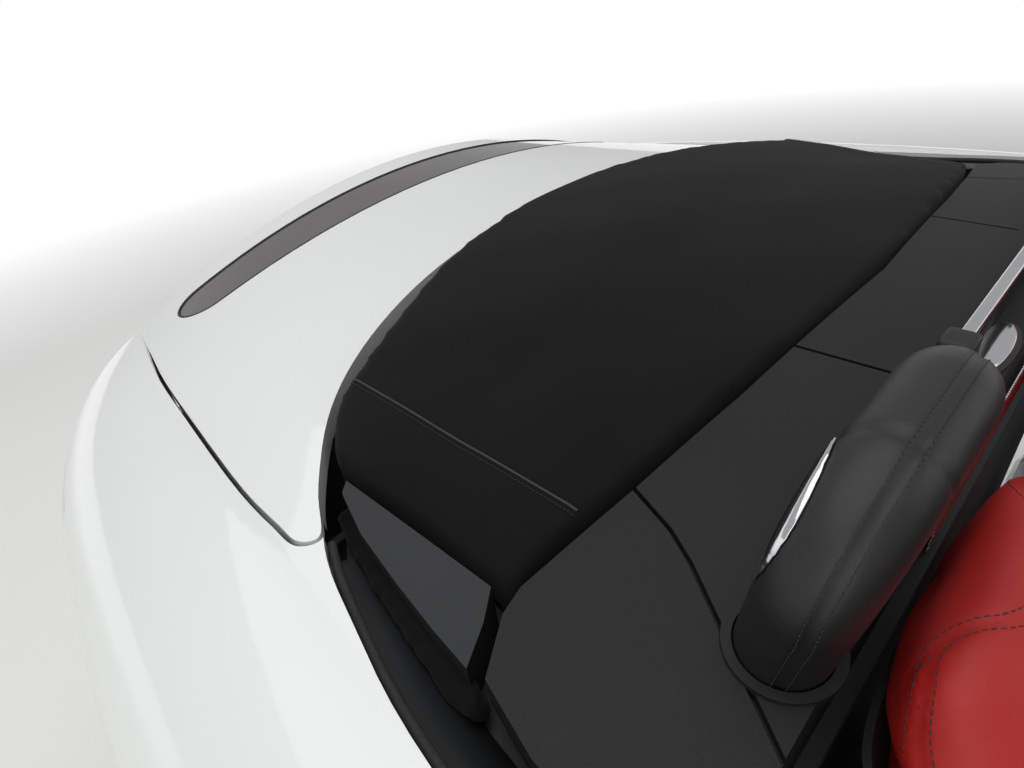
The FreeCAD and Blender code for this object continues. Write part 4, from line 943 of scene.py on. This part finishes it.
def make_door_details():
    """Pull handle in its dish, mirror glass, and a lining with armrest inside each door."""
    places = dropped(nodes["door_left"], [(1.4, 0.395 + 0.02 * k, 0.742 + 0.001 * k) for k in range(11)],
                     way=INWARD, start=0.2)
    bowed = [p + Vector((0.016 * math.sin(math.pi * within(k / 10, 0.06, 0.94)) ** 0.5, 0, 0))
             for k, p in enumerate(places)]
    grip = capsule(bowed, 0.0105, 0.0075)
    dish = capsule([places[k] + Vector((-0.002, 0, -0.003)) for k in (3, 7)],
                   0.024, 0.004)
    lock = turned(((0.0, 0.001), (0.0045, 0.001), (0.0045, 0.0085), (0.0, 0.0095)), 32)
    put(lock, places[10] + Vector((-0.001, 0.022, 0)), UNTURNED)
    glass = beveled_box((0.156, 0.004, 0.084), (0.9055, -0.2645, 0.9725), 0.0019, 2)
    # the lining's section: depth into the cabin, and height
    section = ((0.0, 0.885), (0.01, 0.878), (0.014, 0.8), (0.012, 0.7), (0.04, 0.672), (0.042, 0.64),
               (0.012, 0.6), (0.014, 0.48), (0.006, 0.4), (0.0, 0.39))
    lining = ribbon([[Vector((0.77 - dx, -0.4 + 0.02 * k, z)) for dx, z in section]
                     for k in range(51)], 0.004)
    pocket = capsule([(0.758, -0.3, 0.47), (0.748, 0.0, 0.47), (0.758, 0.34, 0.47)],
                     0.01, 0.03)
    opener = capsule([(0.756, -0.12, 0.765), (0.749, -0.06, 0.765), (0.754, 0.0, 0.765)],
                     0.006, 0.01)
    for made, name, coat, angle, slot in (
            (grip, "door_handle", "pearl_paint", None, None),
            (dish, "door_handle_dish", "satin_black", None, None),
            (lock, "door_lock", "bright_metal", 40, None),
            (glass, "mirror_glass", "mirror_silver", 30, "bright_metal"),
            (lining, "door_lining", "soft_trim", 35, None),
            (pocket, "door_pocket", "black_leather", None, None),
            (opener, "door_opener", "bright_metal", None, None)):
        settle_pair(made, name, coat, body="door_SIDE_assembly", angle=angle, slot=slot)


def make_lamps():
    """Bezels, lenses and light bars over each headlamp, and ringed lights over each tail lamp."""
    head, tail = nodes["headlamps"], nodes["tail_lamps"]
    parts = []
    for x, r, way in ((0.615, 0.038, (0.62, -0.78, 0)), (0.715, 0.034, (0.8, -0.6, 0))):
        place = dropped(head, [(x, -3.0, 0.622)], way=REARWARD, start=0.2)[0]
        parts.append(turned_at(place, way, ((-0.002, r), (0.0035, r), (0.0045, r - 0.004), (0.001, r - 0.009),
                                            (-0.002, r - 0.01))))
        parts.append(turned_at(place, way, ((-0.002, 0.001), (0.0065, 0.001), (0.004, (r - 0.012) * 0.7),
                                            (-0.0015, r - 0.012))))
    for z, lift, radius in ((0.672, -0.001, 0.0035), (0.574, 0.0, 0.003)):
        bar = dropped(head, [(0.5 + 0.026 * k, -3.0, z) for k in range(13)], way=REARWARD, start=0.2)
        parts.append(tube([p + Vector((0, 0, lift)) for p in bar], radius))
    settle_pair(joined(parts), "headlamp_rings", "bright_metal", angle=35)
    rings = []
    for x, r, way in ((0.66, 0.036, (0.45, 0.89, 0)), (0.755, 0.034, (0.8, 0.6, 0))):
        place = dropped(tail, [(x, 3.0, 0.752)], way=FORWARD, start=0.2)[0]
        rings.append(turned_at(place, way, ((-0.002, r), (0.0025, r), (0.0035, r - 0.003), (0.002, r - 0.007),
                                            (-0.002, r - 0.008))))
    settle_pair(joined(rings), "tail_lamp_rings", "lamp_red", angle=35)


def squared_ring(count, power, half_x, half_z, z):
    """Points of a rounded rectangle standing across the car, as places across and heights."""
    turns = [2 * math.pi * k / count for k in range(count)]
    return [(rounded_wave(math.cos(a), power) * half_x, z + rounded_wave(math.sin(a), power) * half_z)
            for a in turns]


def make_bumper_details():
    """Lower intake surround, fog lamps, rear reflectors, and the blank rear plate with its screws."""
    bumper = nodes["front_bumper"]
    outline = [(x, -3.0, z) for x, z in squared_ring(96, 0.28, 0.343, 0.098, 0.385)]
    outline = dropped(bumper, outline, way=REARWARD, start=0.2, lift=0.001)
    settle(tube(outline, 0.0055, closed=True), "intake_surround", "satin_black")
    place = dropped(bumper, [(0.56, -3.0, 0.345)], way=REARWARD, start=0.2)[0]
    for name, coat, section in (
            ("fog_lamp_bezel", "satin_black", ((-0.004, 0.052), (0.004, 0.052), (0.005, 0.046),
                                               (-0.001, 0.04), (-0.004, 0.04))),
            ("fog_lamp_lens", "lamp_clear", ((-0.003, 0.001), (0.007, 0.001), (0.005, 0.02),
                                             (0.0, 0.038), (-0.003, 0.038)))):
        settle_pair(turned_at(place, (0.4, -0.92, 0), section), name, coat, angle=35)
    place = dropped(nodes["rear_bumper"], [(0.64, 3.0, 0.35)], way=FORWARD, start=0.2)[0]
    bar = beveled_box((0.12, 0.006, 0.026), width=0.0025, segments=3)
    put(bar, place, Matrix.Rotation(-math.radians(27), 4, "Z"))
    settle_pair(bar, "rear_reflector", "lamp_red", angle=35)
    y, z = 2.0135, 0.56
    settle(beveled_box((0.5, 0.0022, 0.108), (0, y, z), 0.0009), "rear_plate", "plate_white", angle=30,
           slot="pearl_paint")
    edge = [(x, y + 0.0012, height) for x, height in squared_ring(120, 0.12, 0.25, 0.054, z)]
    settle(tube(edge, 0.0016, closed=True, sides=2), "rear_plate_edge", "satin_black")
    screw = turned(((0.0, 0.0005), (0.003, 0.0005), (0.0022, 0.005), (0.0, 0.0062)), 24)
    settle_pair(put(screw, (0.145, y + 0.001, z)), "rear_plate_screw", "steel", angle=35)


def make_wipers():
    """Two wiper arms with blades, parked low on the glass."""
    steps = 16
    for label, foot, tip_low, tip_high in (("a", 0.3, -0.25, 0.33), ("b", -0.2, -0.58, -0.06)):
        root = Vector((foot, -0.545, 0.955))
        line = [(tip_low + (tip_high - tip_low) * k / steps, -1.4, 1.012 - 0.012 * k / steps)
                for k in range(steps + 1)]
        blade = dropped(nodes["windscreen_glass"], line, way=REARWARD, start=0.2, lift=0.006)
        bend = root.lerp(blade[6], 0.35) + Vector((0, -0.004, 0.02))
        arm = tube([root, bend, blade[6] + Vector((0, -0.006, 0.006))], 0.0055)
        spine = tube([p + Vector((0, -0.003, 0.003)) for p in blade], 0.0034)
        lip = tube(blade, 0.0022)
        cap = turned(((-0.018, 0.001), (0.01, 0.001), (0.008, 0.011), (0.0, 0.014),
                      (-0.018, 0.014)), 40)
        settle(joined([arm, spine, lip, put(cap, root, UPRIGHT)]), "wiper_" + label, "satin_black", angle=40)


def make_stop_lamp_edge():
    """Dark gasket around the long lens in the boot lid."""
    straight, r, y = 0.489, 0.0515, 1.88
    line = [(straight - 2 * straight * k / 70, y + r, 1.3) for k in range(71)]
    line += [(-straight - r * math.sin(math.pi * k / 20), y + r * math.cos(math.pi * k / 20), 1.3)
             for k in range(1, 20)]
    line += [(-a, 2 * y - b, c) for a, b, c in line]
    edge = tube(dropped(nodes["high_stop_lamp"], line), 0.0024, closed=True, sides=2)
    settle(edge, "stop_lamp_edge", "satin_black", "boot_lid_assembly")


# Cabin details

DASH_Y = -0.3095


def make_dial(x, z, r, name):
    """A round gauge facing the seats: bright ring, dark face, pale ticks and a red hand."""
    ring = turned(((-0.004, r), (0.007, r), (0.009, r - 0.003), (0.004, r - 0.006),
                   (-0.004, r - 0.006)))
    face = turned(((-0.003, 0.001), (0.001, 0.001), (0.001, r - 0.006), (-0.003, r - 0.006)))
    tick = beveled_box((0.0008, 0.0012, 0.006), (0.0016, 0, r - 0.012), 0.0003, 1)
    ticks = stamped(tick, [Matrix.Rotation(math.radians(-130 + 13 * k), 4, "X") for k in range(21)])
    hand = beveled_box((0.001, 0.0014, r * 0.62), (0.0026, 0, r * 0.25), 0.0003, 1)
    hand.data.transform(Matrix.Rotation(math.radians(118), 4, "X"))
    for made, label, coat, slot in ((ring, "ring", "bright_metal", None), (face, "face", "satin_black", None),
                                    (ticks, "ticks", "plate_white", "satin_black"),
                                    (hand, "hand", "red_leather", None)):
        settle(put(made, (x, DASH_Y, z)), name + "_" + label, coat, angle=35, slot=slot)


def make_dashboard():
    """Two dials under a hood, four round vents, and a panel with three knobs."""
    for x, name in ((0.3, "speed_dial"), (0.44, "engine_dial")):
        make_dial(x, 0.795, 0.046, name)
    hood = capsule([(0.215, -0.335, 0.835), (0.27, -0.32, 0.868), (0.372, -0.312, 0.88),
                    (0.474, -0.32, 0.868), (0.53, -0.335, 0.835)], 0.03, 0.013)
    settle(hood, "dial_hood", "soft_trim")
    vents = []
    for x in (-0.6, -0.09, 0.09, 0.6):
        parts = [turned(((-0.004, 0.036), (0.006, 0.036), (0.008, 0.032), (0.003, 0.028),
                         (-0.004, 0.028)), 48)]
        for z in (-0.018, -0.009, 0.0, 0.009, 0.018):
            wide = 0.056 * math.cos(math.asin(z / 0.03))
            parts.append(beveled_box((0.003, wide, 0.0022), (0.001, 0, z), 0.0006, 1))
        vents.append(put(joined(parts), (x, DASH_Y, 0.8)))
    settle(joined(vents), "air_vents", "satin_black", angle=35)
    parts = [beveled_box((0.19, 0.01, 0.086), (0, -0.308, 0.705), 0.003)]
    for x in (-0.062, 0.0, 0.062):
        knob = turned(((0.0, 0.001), (0.018, 0.001), (0.018, 0.011), (0.014, 0.0145),
                       (0.0, 0.016)), 40)
        parts.append(put(knob, (x, -0.303, 0.69)))
    settle(joined(parts), "climate_panel", "satin_black", angle=35)


def make_controls():
    """Gear lever in its gaiter, hand brake, sill plates and pedals."""
    y = -0.06
    folds = [(0.458 + 0.012 * k + 0.003 * (k % 2), 0.05 * (1 - 0.14 * k)) for k in range(6)]
    gaiter = turned(folds + [(0.52, 0.006), (0.455, 0.006)], 48)
    settle(put(gaiter, (0, y, 0), UPRIGHT), "gear_gaiter", "black_leather", angle=50)
    settle(tube([(0, y, 0.5), (0, y + 0.004, 0.56)], 0.006), "gear_stick", "bright_metal")
    knob = [(0, y + 0.002, 0.548), (0, y + 0.005, 0.575), (0, y + 0.007, 0.602)]
    brake = [(0.052, 0.22, 0.466), (0.052, 0.12, 0.486), (0.052, 0.02, 0.512)]
    settle(capsule(knob, 0.021, 0.019), "gear_knob", "black_leather")
    settle(capsule(brake, 0.0135, 0.0135), "hand_brake", "black_leather")
    plate = beveled_box((0.054, 1.04, 0.007), (0.738, 0.1, 0.3262), 0.0025, 3)
    settle_pair(plate, "sill_plate", "soft_trim")
    pads = []
    for x, wide, high in ((0.262, 0.06, 0.052), (0.345, 0.06, 0.052), (0.43, 0.042, 0.11)):
        pads.append(beveled_box((wide, 0.01, high), (x, -0.47, 0.335), 0.003, 2, (math.radians(-32), 0, 0)))
        pads.append(tube([(x, -0.474, 0.34), (x, -0.505, 0.43), (x, -0.53, 0.56)], 0.005))
    settle(joined(pads), "pedals", "satin_black", angle=35)


make_soft_top()
make_hoops()
make_deflector()
make_shelf_details()
make_seats()
make_well_edge()
make_side_folds()
make_wheels()
make_door_details()
make_lamps()
make_bumper_details()
make_wipers()
make_stop_lamp_edge()
make_dashboard()
make_controls()


# Camera, floor and soft light

def place_camera():
    """Looks down from above the car's right rear wing, across the boot lid and the folded top."""
    eye = Vector((-0.76801, 0.81757, 1.34081))
    right = Vector((0.70001, -0.70485, -0.11479))
    ahead = Vector((0.53933, 0.62715, -0.56197))
    bpy.ops.object.camera_add(location=eye)
    camera = bpy.context.object
    axes = Matrix((right, right.cross(ahead), -ahead)).transposed()
    camera.matrix_world = Matrix.Translation(eye) @ axes.to_4x4()
    camera.data.sensor_width = 36.0
    camera.data.lens = 22.13
    camera.data.clip_start = 0.05
    bpy.context.scene.camera = camera


def shader_mix(tree, share, first, second, out):
    """Blends two shaders by a share, into an output node."""
    mixed = tree.nodes.new("ShaderNodeMixShader")
    for index, value in enumerate((share, first, second)):
        feed(tree, value, mixed.inputs[index])
    feed(tree, mixed.outputs[0], tree.nodes[out].inputs["Surface"])


def make_floor():
    """Pale grey floor that keeps the car's shadow and runs out to plain white well beyond it."""
    whole_grey, whole_white = 4.4, 6.4
    tree, shader = finish("studio_floor", 0.9)
    drift = use_group(tree, MOTTLE, Scale=0.8, Fine_scale=30.0)
    feed(tree, mix(tree, drift["Slow"], (0.79, 0.8, 0.785), (0.83, 0.84, 0.825)), shader["Base Color"])
    far = add(tree, "ShaderNodeVectorMath", operation="LENGTH")
    feed(tree, add(tree, "ShaderNodeTexCoord").outputs["Object"], far.inputs[0])
    white = add(tree, "ShaderNodeEmission", Strength=1.0)
    shader_mix(tree, range_of(tree, far.outputs["Value"], 0.0, 1.0, whole_grey, whole_white),
               tree.nodes["Principled BSDF"].outputs[0], white.outputs[0], "Material Output")
    pick()
    bpy.ops.mesh.primitive_plane_add(size=400.0, location=(0, 0, 0))
    floor = bpy.context.object
    floor.name = "studio_floor"
    floor.data.materials.append(FINISH["studio_floor"])


def make_sky():
    """Soft even light from all round, seen as plain white by the camera and through glass."""
    world = bpy.data.worlds.new("studio")
    bpy.context.scene.world = world
    world.use_nodes = True
    tree = world.node_tree
    sky = tree.nodes["Background"]
    white = tree.nodes.new("ShaderNodeBackground")
    sky.inputs["Strength"].default_value = 0.42
    for background in (sky, white):
        background.inputs["Color"].default_value = (1.0, 1.0, 1.0, 1.0)
    path = tree.nodes.new("ShaderNodeLightPath").outputs
    either = math_node(tree, "MAXIMUM", path["Is Camera Ray"], path["Is Transmission Ray"])
    shader_mix(tree, either, sky.outputs[0], white.outputs[0], "World Output")


def make_lights():
    for name, place, aim, size, power in (
            ("ceiling_softbox", (-0.8, 1.6, 5.2), (0, 0.6, 0.6), 7.0, 185.0),
            ("side_softbox", (-5.2, -1.0, 2.6), (0, 0.0, 0.7), 3.5, 50.0),
            ("front_softbox", (2.8, -4.8, 3.4), (0, -0.8, 0.6), 3.5, 50.0)):
        bpy.ops.object.light_add(type="AREA", location=place)
        lamp = bpy.context.object
        lamp.name = name
        lamp.data.size = size
        lamp.data.energy = power
        lamp.rotation_euler = (Vector(aim) - Vector(place)).to_track_quat("-Z", "Y").to_euler()


place_camera()
make_floor()
make_sky()
make_lights()
bpy.context.scene.view_settings.view_transform = "Standard"
